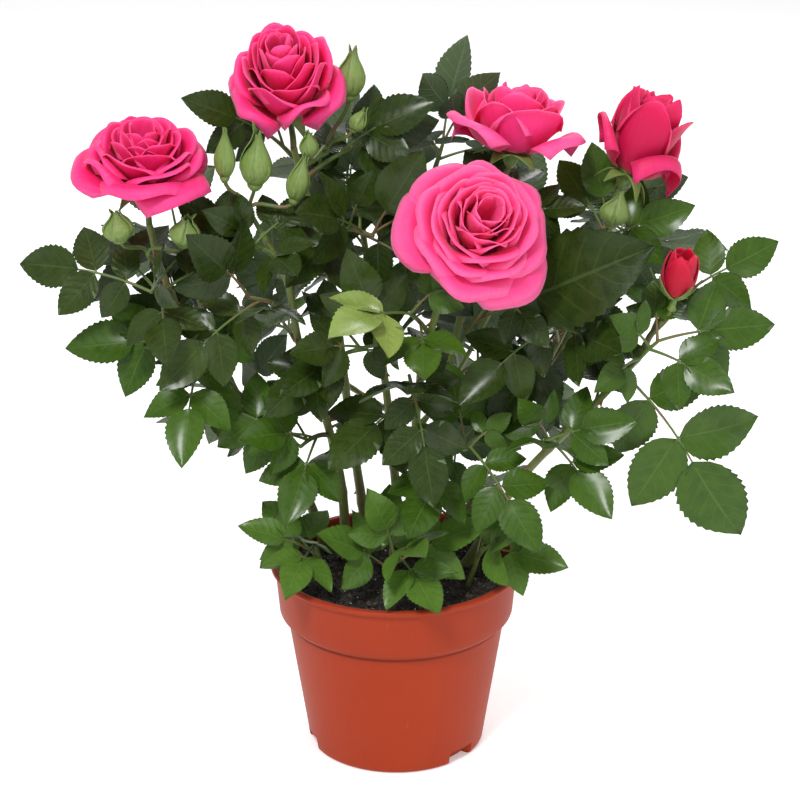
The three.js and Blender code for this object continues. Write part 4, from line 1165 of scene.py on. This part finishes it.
# Blooms. Each petal's side profile is four control points of radius and height, in shares of the
# bloom's spread. It goes through four stages from the heart to the outermost petal.
petalStages = (0, 0.45, 0.8, 1)
petalCurve = dict(
    open=(
        ((0.02, 0.06), (0.14, 0.22), (0.18, 0.56), (0.05, 0.80)),
        ((0.05, 0.02), (0.38, 0.02), (0.45, 0.42), (0.44, 0.69)),
        ((0.07, 0.00), (0.56, -0.04), (0.66, 0.36), (0.82, 0.43)),
        ((0.08, -0.01), (0.62, -0.06), (0.84, 0.24), (1.02, 0.12))),
    deep=(
        ((0.02, 0.06), (0.16, 0.22), (0.20, 0.60), (0.06, 0.92)),
        ((0.05, 0.02), (0.44, -0.02), (0.52, 0.46), (0.44, 0.88)),
        ((0.07, 0.00), (0.64, -0.06), (0.68, 0.44), (0.74, 0.80)),
        ((0.08, -0.01), (0.72, -0.08), (0.80, 0.34), (1.00, 0.26))),
    closed=(
        ((0.02, 0.06), (0.16, 0.20), (0.20, 0.62), (0.04, 0.94)),
        ((0.06, 0.03), (0.50, 0.03), (0.56, 0.58), (0.40, 0.96)),
        ((0.07, 0.01), (0.70, -0.02), (0.80, 0.64), (0.46, 1.00)),
        ((0.08, 0.00), (0.85, -0.05), (0.95, 0.66), (0.50, 1.02))),
)
petalLook = dict(
    rows=15, columns=15, thickness=0.3, heartTurn=100, outerTurn=56, closedWrap=1.35, wander=0.05,
    roll=0.125, heartRoll=0.06, sideRoll=0.75, reflex=0.10, reflexFrom=0.72, closedLoose=0.15,
    rollFrom=0.55, edgeFrom=0.35, ruffle=0.032, tuck=0.05, point=0.05, rounding=0.24, corner=0.34,
    cuppedUnder=0.85,
)
# For each bloom: the turn of its first petal in degrees and how many it has, how far its cup stands
# up, its size against the solid's, how its petals crowd to the heart, the bend of the outer ones, and
# in mm where the heart is pushed and how far all of it is lifted.
bloomShape = {
    "bloom_front": dict(
        turn=0, petals=40, deep=0.0, wide=0.97, high=0.95, tight=1.3, bend=0.8, heart=(5, 0, 4), lift=5),
    "bloom_left": dict(
        turn=50, petals=38, deep=0.15, wide=0.95, high=1.0, tight=1.25, bend=0.3, heart=(0, 2, 0), lift=4),
    "bloom_top_left": dict(
        turn=0, petals=36, deep=0.8, wide=0.95, high=1.15, tight=1.3, bend=0.5, heart=(-2, 0, 5), lift=3),
    "bloom_top_right": dict(
        turn=25, petals=20, deep=0.8, wide=0.96, high=1.0, tight=1.2, bend=0.6, heart=(0, 0, 0), lift=2),
    "bloom_right": dict(
        turn=0, petals=19, deep=1.1, wide=0.86, high=1.1, tight=1.2, bend=0.4, heart=(-2, 0, 0), lift=3),
    "bloom_opening": dict(
        turn=0, petals=10, deep=1.0, wide=1.0, high=1.0, tight=1.0, bend=0.1, heart=(0, 0, 0), lift=0),
}


def petalProfile(share, deep, closed, reach):
    curves = {key: np.array(value, float) for key, value in petalCurve.items()}
    stages = curves["closed"] if closed else curves["open"] + (curves["deep"] - curves["open"]) * deep
    weights = ((1 - reach)**3, 3 * reach * (1 - reach)**2, 3 * reach**2 * (1 - reach), reach**3)
    return [
        sum(w * np.interp(share, petalStages, stages[:, k, axis]) for k, w in enumerate(weights))
        for axis in (0, 1)]


def petalHabit(share, bend, closed, draw):
    # what each petal draws for itself: its half width as a turn, how far it has opened, the phase of
    # its ruffle, its lean, its reach, its roll, its point and its ruffle
    look = petalLook
    half = look["heartTurn"] + (look["outerTurn"] - look["heartTurn"]) * share**0.5
    half *= (0.9 + 0.25 * draw()) * (look["closedWrap"] if closed else 1)
    opened = min(1, max(0.03, share + look["wander"] * (draw() - 0.5)))
    phase, lean, farthest = 6.28 * draw(), 0.05 * (draw() - 0.5), 0.90 + 0.13 * draw()
    loose = look["closedLoose"] if closed else 1
    roll = look["heartRoll"] + (look["roll"] - look["heartRoll"]) * min(1, 2 * share)
    reflex = look["reflex"] * bend * max(0, share - look["reflexFrom"]) / (1 - look["reflexFrom"])
    roll = loose * (roll * (0.65 + 0.6 * draw()) + reflex)
    point = look["point"] * (0.2 + 1.2 * draw()) * (0.3 + share)
    ruffle = look["ruffle"] * (0.3 + share) * (0.6 + 0.8 * draw()) * (0.4 + 0.6 * loose)
    return half, opened, phase, lean, farthest, roll, point, ruffle


def putPetal(heap, share, bloom, shape, turn, matrix, draw):
    # v runs from the petal's foot to its lip, and u from edge to edge
    look, closed = petalLook, bloom["cup"] == 1
    half, opened, phase, lean, farthest, roll, point, ruffle = petalHabit(share, shape["bend"], closed, draw)
    v, u = np.meshgrid(
        np.linspace(0, 1, look["rows"]), np.linspace(-1, 1, look["columns"]), indexing="ij")
    across, rise = np.abs(u), np.minimum(1, 1.15 * v)
    rounded = look["rounding"] * (0.75 + 0.7 * share) * across**3
    pointed = point * np.maximum(0, 1 - 1.7 * across)**1.5
    reach = v * (1 - rounded + pointed) * farthest
    r, z = petalProfile(opened, shape["deep"], closed, np.minimum(reach, 1.05))
    lip = np.maximum(0, v - look["rollFrom"]) / (1 - look["rollFrom"])
    edge = np.maximum(0, across - look["edgeFrom"]) / (1 - look["edgeFrom"])
    cupped = shape["deep"] * (share < look["cuppedUnder"])  # inner petals of a deep bloom stay in line
    curl = lip**2 + look["sideRoll"] * (1 - 0.85 * cupped) * edge**2 * np.sin(np.pi * rise * 0.75)
    r = r + roll * curl * (1.05 - 0.45 * share) + 0.7 * ruffle * lip * np.cos(2 * phase + 5.4 * u)
    z = z - roll * curl * lip * (0.35 + 0.9 * share) + lean * u * v + ruffle * lip * np.sin(phase + 4.2 * u)
    r = r * (1 + look["tuck"] * u * (1 - 0.3 * share)) - 0.05 * cupped * edge**2
    width = (0.26 + 0.74 * np.sin(rise * np.pi / 2)) * (1 - look["corner"] * v**5)
    around = np.radians(turn + half * u * width)
    r, z = r * shape["wide"], z * bloom.get("tall", 1) * shape["high"]
    petal = np.stack([r * np.cos(around), r * np.sin(around), z], -1).reshape(-1, 3)
    points = placed(bloom["radius"] * petal, matrix)
    points += np.array(shape["heart"]) * (v * (1 - share)).reshape(-1, 1)
    points += np.array((0, 0, shape["lift"])) * np.minimum(1, 2 * v).reshape(-1, 1)
    heap.put(points, gridFaces(*v.shape), np.stack([v, u, np.full(v.shape, share)], -1))


def petalPaint(foot, deep, body, rim):
    def paint(net, place):
        at = net.surfacePlace()
        v, u, share = net.parts(at)
        across = abs(u)
        streak = net.noise(at, (2.2, 15.0, 40.0), 3)
        soft = net.noise(place, 220, 3)
        cells = net.noise(place, 3200, 2)
        # painted shade: the inner part of each petal, down in the cup, takes the darker deep colour, and the
        # body colour comes in towards the lip
        tone = net.mix((v * 1.15 + soft * 0.35 - 0.30).clamped(), deep, body)
        tone = net.mix((1 - share.above(0.05, 0.32)) * 0.35, tone, rim)
        # painted highlight: the lip and the side edges of each petal take the lighter rim colour, more on
        # the outer petals
        lit = (v.above(0.80, 1.0) * 0.75 + across.above(0.84, 1.0) * v * 0.5).clamped()
        tone = net.mix((lit * (share * 0.5 + 0.5)).clamped(), tone, rim)
        tone = net.mix((1 - v.above(0.02, 0.22)) * 0.8, tone, foot)
        tone = net.mix(streak.above(0.45, 0.75) * 0.25, tone, deep)
        return {
            "Base Color": tone,
            "Roughness": (soft * 0.2 + 0.46).clamped(),
            "Normal": net.bump(streak * 0.7 + cells * 0.25, 0.4, 0.0005),
        }
    return paint


petalGloss = {
    "Sheen Weight": 0.10, "Sheen Roughness": 0.4, "Subsurface Weight": 0.25, "Subsurface Scale": 0.003,
    "Specular IOR Level": 0.25,
}
# per bloom: the pale foot of the petals, deep as the painted shade in the cup, the body, and rim, which is
# the lighter tone of the heart petals and the painted highlight on lips and edges
petalColours = {
    "bloom_front": dict(
        foot=(0.96, 0.42, 0.36), deep=(0.84, 0.026, 0.160),
        body=(0.90, 0.048, 0.220), rim=(0.94, 0.135, 0.34)),
    "bloom_left": dict(
        foot=(0.88, 0.24, 0.22), deep=(0.66, 0.005, 0.098),
        body=(0.78, 0.013, 0.155), rim=(0.88, 0.07, 0.27)),
    "bloom_top_left": dict(
        foot=(0.92, 0.30, 0.28), deep=(0.72, 0.008, 0.112),
        body=(0.85, 0.020, 0.180), rim=(0.93, 0.09, 0.30)),
    "bloom_top_right": dict(
        foot=(0.92, 0.30, 0.30), deep=(0.72, 0.013, 0.130),
        body=(0.85, 0.036, 0.210), rim=(0.93, 0.12, 0.33)),
    "bloom_right": dict(
        foot=(0.66, 0.12, 0.10), deep=(0.42, 0.002, 0.040),
        body=(0.54, 0.003, 0.072), rim=(0.72, 0.03, 0.16)),
    "bloom_opening": dict(
        foot=(0.60, 0.08, 0.06), deep=(0.36, 0.002, 0.016),
        body=(0.48, 0.002, 0.028), rim=(0.58, 0.008, 0.048)),
}


def solidify(obj, thickness, offset):
    skin = obj.modifiers.new("thickness", "SOLIDIFY")
    skin.thickness, skin.offset = thickness * mm, offset


draw = randomFrom(311)
blossomPieces = {}
for name, bloom in blooms.items():
    heap, shape = Heap(), bloomShape[name]
    matrix = standing(bloom["at"], bloom["axis"])
    heart = 0.45 if bloom["cup"] == 1 else 0.05
    for k in range(shape["petals"]):
        share = heart + (1 - heart) * ((k + 0.5) / shape["petals"])**shape["tight"]
        turn = shape["turn"] + goldenTurn * k + 14 * (draw() - 0.5)
        putPetal(heap, share, bloom, shape, turn, matrix, draw)
    material = newMaterial(name + "_petal", petalPaint(**petalColours[name]), petalGloss)
    blossomPieces[name] = heap.build(name + "_petals", material)
    solidify(blossomPieces[name], petalLook["thickness"], 0)
print("blooms:", len(blossomPieces))


# Green parts of the flowers: the hip and sepals under each bloom, and the buds.
greenParts = dict(sides=14, sepals=5, sepalRows=11, sepalColumns=(-1, -0.5, 0, 0.5, 1), thickness=0.45)


def putSepal(heap, path, widths, turn, matrix, shade):
    # path: rows of radius and height, widths in mm, folded a little along its middle
    points, places = [], []
    for i, ((r, z), width) in enumerate(zip(path, widths)):
        for u in greenParts["sepalColumns"]:
            around, out = turn + u * width / max(r, 1.2), r + 0.075 * width * u * u
            points.append((out * math.cos(around), out * math.sin(around), z + 0.12 * width * abs(u)))
            places.append((i / (len(path) - 1), u, shade))
    heap.put(placed(points, matrix), gridFaces(len(path), len(greenParts["sepalColumns"])), places)


def sepalPaint(net, place):
    at = net.surfacePlace()
    fine = net.noise(place, (900.0, 900.0, 350.0), 3)
    ridge = net.noise(at, (2.0, 9.0, 3.0), 2)
    green = net.mix(fine, (0.085, 0.150, 0.026), (0.190, 0.270, 0.062))
    green = net.mix(net.parts(at)[0].above(0.55, 1.0) * 0.45, green, (0.060, 0.115, 0.022))
    return {
        "Base Color": net.mix((ridge.above(0.62, 0.78) * 0.4).clamped(), green, (0.28, 0.12, 0.07)),
        "Roughness": fine * 0.25 + 0.38,
        "Normal": net.bump(fine * 0.5 + ridge, 0.5, 0.0005),
    }


sepalMaterial = newMaterial("sepalGreen", sepalPaint)
budHeap, sepalHeap = Heap(), Heap()
for name, bloom in blooms.items():
    matrix = standing(bloom["at"], bloom["axis"])
    radius, cup = bloom["radius"], bloom["cup"]
    size, small = min(1, radius / 24), radius < 20
    hip = [(0, -7.5), (1.3, -7.5), (2.2, -6.4), (3.3 * size, -4.4), (3.4 * size, -2.6), (2.7 * size, -1.2)]
    hip += [(3.4 * size, -0.4), (0.2 * radius, 0.4), (0.16 * radius, 0.9), (0, 0.1 * radius)]
    putLathe(budHeap, hip, greenParts["sides"], matrix, 0.5)
    for k in range(greenParts["sepals"]):
        length = (1.1 if small else 0.46) * radius * (0.85 + 0.3 * draw())
        if cup == 1:
            droop = -0.9 - 0.3 * draw()
        else:
            droop = 0.5 + 0.5 * draw() if cup > 0.4 else 0.15 + 0.25 * draw()
        widest = 0.17 * radius * (1.6 if small else 1)
        path, widths = [], []
        for v in np.linspace(0, 1, greenParts["sepalRows"]):
            z = -0.9 - length * droop * v * v * 0.9 + 0.06 * length * math.sin(3 * v)
            path.append((2.6 * size + length * v * 0.92, z))
            swell = math.sin(math.pi * (0.28 + 0.70 * v))**0.8
            widths.append(max(0.12, widest * swell * (1 - 0.55 * v)))
        putSepal(sepalHeap, path, widths, math.radians(72 * k + 20 * draw()), matrix, draw())

# a bud, its rows in shares of its radius and length, and the sepals that clasp it
budBody = (
    (0, -0.1), (0.28, -0.1), (0.5, -0.04), (0.56, 0.02), (0.5, 0.06), (0.8, 0.14), (0.96, 0.26),
    (0.92, 0.38), (0.76, 0.50), (0.56, 0.60), (0.36, 0.70), (0.16, 0.79), (0, 0.82),
)
claspShares, claspRadii = (0, 0.1, 0.26, 0.4, 0.55, 0.7, 0.85, 1), (0.55, 0.84, 1.04, 1.00, 0.77, 0.44)
claspWidths = ((0, 0.15, 0.35, 0.6, 0.75, 0.9, 1), (0.45, 0.76, 0.80, 0.50, 0.28, 0.17, 0.03))
for cluster in budClusters.values():
    for bud in cluster["buds"]:
        matrix = standing(bud["at"], bud["axis"])
        radius, length = bud["radius"], bud["length"]
        body = [(r * radius, z * length) for r, z in budBody]
        putLathe(budHeap, body, greenParts["sides"], matrix, 0.3)
        for k in range(greenParts["sepals"]):
            flare, long = 0.6 * draw()**2, 0.82 + 0.22 * draw()
            outs = (*claspRadii, 0.16 + 0.3 * flare, 0.06 + flare)
            path, widths = [], []
            for v in np.linspace(0, 1, greenParts["sepalRows"] + 3):
                z = length * (0.04 + 0.95 * v * long)
                path.append((radius * np.interp(v, claspShares, outs), z))
                widths.append(radius * np.interp(v, *claspWidths))
            putSepal(sepalHeap, path, widths, math.radians(72 * k + 25 * draw()), matrix, draw())
hipsAndBuds = budHeap.build("hipsAndBuds", sepalMaterial)
sepals = sepalHeap.build("sepals", sepalMaterial)
solidify(sepals, greenParts["thickness"], 1)
print("buds:", sum(len(c["buds"]) for c in budClusters.values()))


# Pot. A turned skin of rows of radius and height, with drain slots in the edge of its foot.
potLook = dict(
    rimRadius=60, footRadius=42.5, bandFoot=66, bodyRadius=52, bandRadius=56,
    columns=384, slots=3, slotBearing=317, slotWidth=15, slotHeight=6.5, slotDepth=4.5,
)


def potRows():
    p = potLook
    foot, body, band, rim = p["footRadius"], p["bodyRadius"], p["bandRadius"], p["rimRadius"]

    def side(z):
        return foot + (body - foot) * (z - 1.5) / (p["bandFoot"] - 3.5)

    rows = [(0, 0.8), (foot - 6, 0.8), (foot - 5.2, 0), (foot - 2.4, 0), (foot - 1.2, 0.2)]
    rows += [(foot - 0.35, 0.7), (foot, 1.5)]
    rows += [(side(z), z) for z in (4, 6.4, 6.6, 9, 12, 20, 30, 40, 50, 58, 62, 63.6)]
    rows += [(body + 0.05, 64.3), (body - 0.15, 64.7), (body - 0.15, 65.1), (body + 0.35, 65.5)]
    rows += [(body + 1.6, 66.3), (band - 1.2, 67.6), (band - 0.35, 68.3), (band, 69.2)]
    rows += [(band + (rim - 2.2 - band) * (z - 69.2) / 20.3, z) for z in (74, 80, 85, 88.5, 89.5)]
    rows += [(rim - 2.0, 90.1), (rim - 1.3, 90.5), (rim - 0.4, 90.8), (rim, 91.4), (rim, 92.1)]
    rows += [(rim - 0.4, 92.7), (rim - 1.0, 93), (rim - 2.8, 93), (rim - 3.4, 92.7), (rim - 3.8, 91.8)]
    rows += [(rim - 4.2, 89), (rim - 5.4, 80), (band - 3, 69), (body - 2.2, 64), (foot - 1.6, 8), (0, 8)]
    return rows


def potMesh():
    p = potLook
    rows = potRows()
    turns = np.arange(p["columns"]) * 2 * math.pi / p["columns"]
    middles = math.radians(p["slotBearing"]) + np.arange(p["slots"]) * 2 * math.pi / p["slots"]
    toMiddle = np.abs((turns[:, None] - middles + math.pi) % (2 * math.pi) - math.pi)
    inSlot = (toMiddle < p["slotWidth"] / 2 / p["footRadius"]).any(1)
    # in a slot the rows from the underside up to its top step in to its back
    back, top = p["footRadius"] - p["slotDepth"], p["slotHeight"]
    slotRows = [(back, 0.8), (back, 0.8), (back, 1.6), (back, 3.2), (back, 5.2)]
    slotRows += [(back + 0.3, top - 0.2), (back + 2.2, top), (rows[8][0] + 0.02, top)]
    cutRows = [rows[0], *slotRows, *rows[9:]]
    points = []
    for full, cut in zip(rows, cutRows):
        for t, slot in zip(turns, inSlot):
            r, z = cut if slot else full
            points.append((r * math.cos(t), r * math.sin(t), z))
    heap = Heap()
    heap.put(points, gridFaces(len(rows), p["columns"], closed=True))
    return heap


def potPaint(net, place):
    x, y, height = net.parts(place)
    broad = net.noise(place, 22, 3)
    grain = net.noise(place, 1300, 3)
    streak = net.noise(place, (160.0, 160.0, 9.0), 4)
    scuff = net.noise(place, (420.0, 420.0, 90.0), 5).above(0.66, 0.76)
    # painted shade: a thin dark line along the band's foot at 64.9 mm, standing for the shadow in the groove
    # there
    creaseShade = 1 - abs(height - 0.0649).above(0.0003, 0.0012)
    band = height.above(0.0655, 0.0680)
    tone = net.mix(broad, (0.285, 0.027, 0.005), (0.345, 0.037, 0.008))
    tone = net.mix(streak.above(0.40, 0.75) * 0.30, tone, (0.29, 0.030, 0.009))
    tone = net.mix(band * 0.35, tone, (0.27, 0.030, 0.011))
    tone = net.mix(scuff * 0.15, tone, (0.50, 0.13, 0.07))
    dust = net.noise(place, 500, 3).above(0.58, 0.64) * height.above(0.0870, 0.0905)
    inner = 1 - (x**2 + y**2).math("SQRT").above(0.0560, 0.0572)
    tone = net.mix((dust * inner).clamped() * 0.9, tone, (0.020, 0.015, 0.012))
    return {
        "Base Color": net.mix(creaseShade * 0.65, tone, (0.14, 0.02, 0.01)),
        "Roughness": (broad * 0.15 + grain * 0.12 + scuff * 0.15 + 0.36).clamped(),
        "Normal": net.bump(grain * 0.5 + streak * 0.6, 0.35, 0.0004),
    }


pot = potMesh().build("potShell", newMaterial("potPlastic", potPaint, {"Specular IOR Level": 0.16}))


def mergeDoubles(obj):
    bm = bmesh.new()
    bm.from_mesh(obj.data)
    bmesh.ops.remove_doubles(bm, verts=bm.verts, dist=1e-6)
    bmesh.ops.recalc_face_normals(bm, faces=bm.faces)
    bm.to_mesh(obj.data)
    bm.free()


mergeDoubles(pot)


# Peat: a lumpy bed, with crumbs and perlite scattered over it.
bedLook = dict(
    top=89, edgeDrop=4, edgeRadius=54.9, flatRadius=47, rings=44, columns=150, lumps=1.6, underside=80,
    crumbs=dict(density=260000.0, size=0.0011, seed=5), perlite=dict(density=16000.0, size=0.0006, seed=6),
)


def lump(x, y):
    # a few crossed waves, so that the bed has hollows and heaps
    return (math.sin(0.31 * x + 1.7 * math.sin(0.11 * y)) + math.sin(0.37 * y + 1.3 * math.sin(0.17 * x) + 1)
            + 0.6 * math.sin(0.9 * x + 0.4 * y) * math.sin(0.7 * y - 0.5 * x)) / 2.6


def bedRing(r):
    turns = 2 * math.pi * np.arange(bedLook["columns"]) / bedLook["columns"]
    return [(r * math.cos(t), r * math.sin(t)) for t in turns]


def bedFaces(rings):
    return [tuple(reversed(face)) for face in gridFaces(rings, bedLook["columns"], closed=True)]


bedTop = []
for i in range(bedLook["rings"] + 1):
    r = bedLook["edgeRadius"] * i / bedLook["rings"]
    fall = max(0, (r - bedLook["flatRadius"]) / (bedLook["edgeRadius"] - bedLook["flatRadius"]))
    z = bedLook["top"] - bedLook["lumps"] - bedLook["edgeDrop"] * fall**2 * 0.8
    bedTop += [(x, y, z + bedLook["lumps"] * lump(x, y) * (1 - 0.5 * fall)) for x, y in bedRing(r)]
skirt = [(x, y, bedLook["underside"]) for r in (bedLook["edgeRadius"] - 0.4, 0.01) for x, y in bedRing(r)]
bed = Heap()
bed.put(bedTop + skirt, bedFaces(bedLook["rings"] + 3))


def peatPaint(net, place):
    fine = net.noise(place, 900, 5, 0.7)
    broad = net.noise(place, 120, 3)
    tone = net.mix(fine.above(0.35, 0.7), (0.005, 0.004, 0.003), (0.050, 0.038, 0.026))
    return {
        "Base Color": net.mix(broad * 0.5, tone, (0.012, 0.009, 0.007)),
        "Roughness": fine * 0.2 + 0.78,
        "Normal": net.bump(fine, 1.0, 0.0015),
    }


peatBed = bed.build("peatBed", newMaterial("peat", peatPaint))
mergeDoubles(peatBed)

net, group = newTree("scatterGrains", [
    ("Grain", "Object"), ("Density", "Float"), ("Grain Size", "Float"), ("Seed", "Int")])
dots = net.add("GeometryNodeDistributePointsOnFaces", {}, {
    "Mesh": group.out("Geometry"), "Density": group.out("Density"), "Seed": group.out("Seed")})
turn = net.add("FunctionNodeRandomValue", {"data_type": "FLOAT_VECTOR"}, {
    "Min": (0, 0, 0), "Max": (6.28, 6.28, 6.28), "Seed": group.out("Seed")})
size = net.add("FunctionNodeRandomValue", {"data_type": "FLOAT_VECTOR"}, {
    "Min": (0.45, 0.45, 0.35), "Max": (1.5, 1.2, 1.0), "Seed": group.out("Seed")})
grain = net.add("GeometryNodeObjectInfo", {}, {"Object": group.out("Grain")}).out("Geometry")
scale = net.add("ShaderNodeVectorMath", {"operation": "SCALE"}, {0: size, "Scale": group.out("Grain Size")})
grains = net.add("GeometryNodeInstanceOnPoints", {}, {
    "Points": dots, "Instance": grain, "Rotation": turn, "Scale": scale})
scatterGrains = endTree(net, group, grains)


def grainShape(name, seed):
    # an uneven pebble of twenty faces, about one unit across its half
    bm = bmesh.new()
    bmesh.ops.create_icosphere(bm, subdivisions=1, radius=1.0)
    draw = randomFrom(seed)
    for vert in bm.verts:
        vert.co *= 0.7 + 0.55 * draw()
    mesh = bpy.data.meshes.new(name)
    bm.to_mesh(mesh)
    bm.free()
    return newObject(name, mesh)


def scatterPiece(name, look, material):
    # grains on the top of the bed, clear of its skirt
    heap = Heap()
    rings, columns = bedLook["rings"], bedLook["columns"]
    heap.put(bedTop[:rings * columns], bedFaces(rings))
    obj = heap.build(name, material)
    grain = grainShape(name + "Shape", look["seed"])
    runTree(obj, scatterGrains, {
        "Grain": grain, "Density": look["density"], "Grain Size": look["size"], "Seed": look["seed"],
        "Material": material})
    bpy.data.meshes.remove(grain.data)
    return obj


def crumbPaint(net, place):
    fine = net.noise(place, 1100, 3)
    broad = net.noise(place, 260, 2).above(0.45, 0.65)
    tone = net.mix(broad, (0.010, 0.007, 0.005), (0.075, 0.055, 0.036))
    return {
        "Base Color": net.mix(fine.above(0.4, 0.7) * 0.6, tone, (0.016, 0.011, 0.008)),
        "Roughness": fine * 0.3 + 0.55,
        "Normal": net.bump(fine, 0.8, 0.0006),
    }


def perlitePaint(net, place):
    tone = net.noise(place, 1500, 3)
    return {
        "Base Color": net.mix(tone, (0.42, 0.38, 0.32), (0.75, 0.72, 0.66)),
        "Roughness": tone * 0.2 + 0.7,
    }


crumbs = scatterPiece("peatCrumbs", bedLook["crumbs"], newMaterial("peatCrumb", crumbPaint))
perlite = scatterPiece("perlite", bedLook["perlite"], newMaterial("perlite", perlitePaint))
print("grains:", len(crumbs.data.polygons) // 20, "of peat,", len(perlite.data.polygons) // 20, "of perlite")


# Every piece rides on the one body and stands for its solids.
for tint, piece in leafPieces.items():
    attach(piece, "root")
    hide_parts(*[name for name in sprays if tintOf(name) == tint])
    "young_leaf" if tint in ("Fresh", "Young") else "leaf"
for name, piece in blossomPieces.items():
    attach(piece, "root")
    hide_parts(name)
    "petal_red" if name == "bloom_opening" else "petal_pink"
for piece, slot, nodes in [
        (under, "leaf", ()), (twigs, "bark", ()),
        (canesAndBoughs, "bark", (*canes, *boughs)), (prickles, "bark", ()),
        (hipsAndBuds, "bud", tuple(budClusters)), (sepals, "bud", ()), (pot, "pot", ("pot",)),
        (peatBed, "peat", ("soil",)), (crumbs, "peat", ()), (perlite, "peat", ())]:
    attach(piece, "root")
    if nodes:
        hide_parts(*nodes)


# Floor, light and camera.
studio = dict(floorHalf=3.0, sky=0.72, floorGlow=0.24, keyPower=17, fillPower=3, backPower=9)
floorHeap = Heap()
half = studio["floorHalf"] / mm
floorHeap.put([(-half, -half, 0), (half, -half, 0), (half, half, 0), (-half, half, 0)], [(0, 1, 2, 3)])


def floorPaint(net, place):
    tone = net.noise(place, 3, 2)
    return {
        "Base Color": net.mix(tone, (0.87, 0.87, 0.87), (0.90, 0.90, 0.90)),
        "Roughness": tone * 0.1 + 0.6,
    }


glow = {"Emission Color": (1.0, 1.0, 1.0, 1.0), "Emission Strength": studio["floorGlow"]}
floor = floorHeap.build("floor", newMaterial("paleFloor", floorPaint, glow))

world = bpy.data.worlds.new("studio")
bpy.context.scene.world = world
world.use_nodes = True
sky = world.node_tree.nodes["Background"]
sky.inputs["Color"].default_value = (1.0, 1.0, 1.0, 1.0)
sky.inputs["Strength"].default_value = studio["sky"]


def addLight(name, power, size, place, target=(0, 0, 0.19)):
    lamp = bpy.data.lights.new(name, "AREA")
    lamp.shape, lamp.size, lamp.energy = "DISK", size, power
    obj = newObject(name, lamp)
    obj.location = place
    obj.rotation_euler = (Vector(target) - Vector(place)).to_track_quat("-Z", "Y").to_euler()


addLight("key", studio["keyPower"], 0.35, (-0.35, -0.95, 1.35))
addLight("fill", studio["fillPower"], 0.9, (1.1, -0.8, 0.7))
addLight("back", studio["backPower"], 0.6, (0.3, 1.0, 1.2))

view = dict(place=(0.00186, -1.0, 0.551), tiltDown=20.652, wide=19.80)
camera = bpy.data.cameras.new("camera")
camera.sensor_width = 36
camera.lens = 18 / math.tan(math.radians(view["wide"] / 2))
eye = newObject("camera", camera)
eye.location = view["place"]
eye.rotation_euler = (math.radians(90 - view["tiltDown"]), 0, 0)
bpy.context.scene.camera = eye
bpy.context.scene.view_settings.view_transform = "Standard"

bpy.data.materials.remove(bareMaterial)
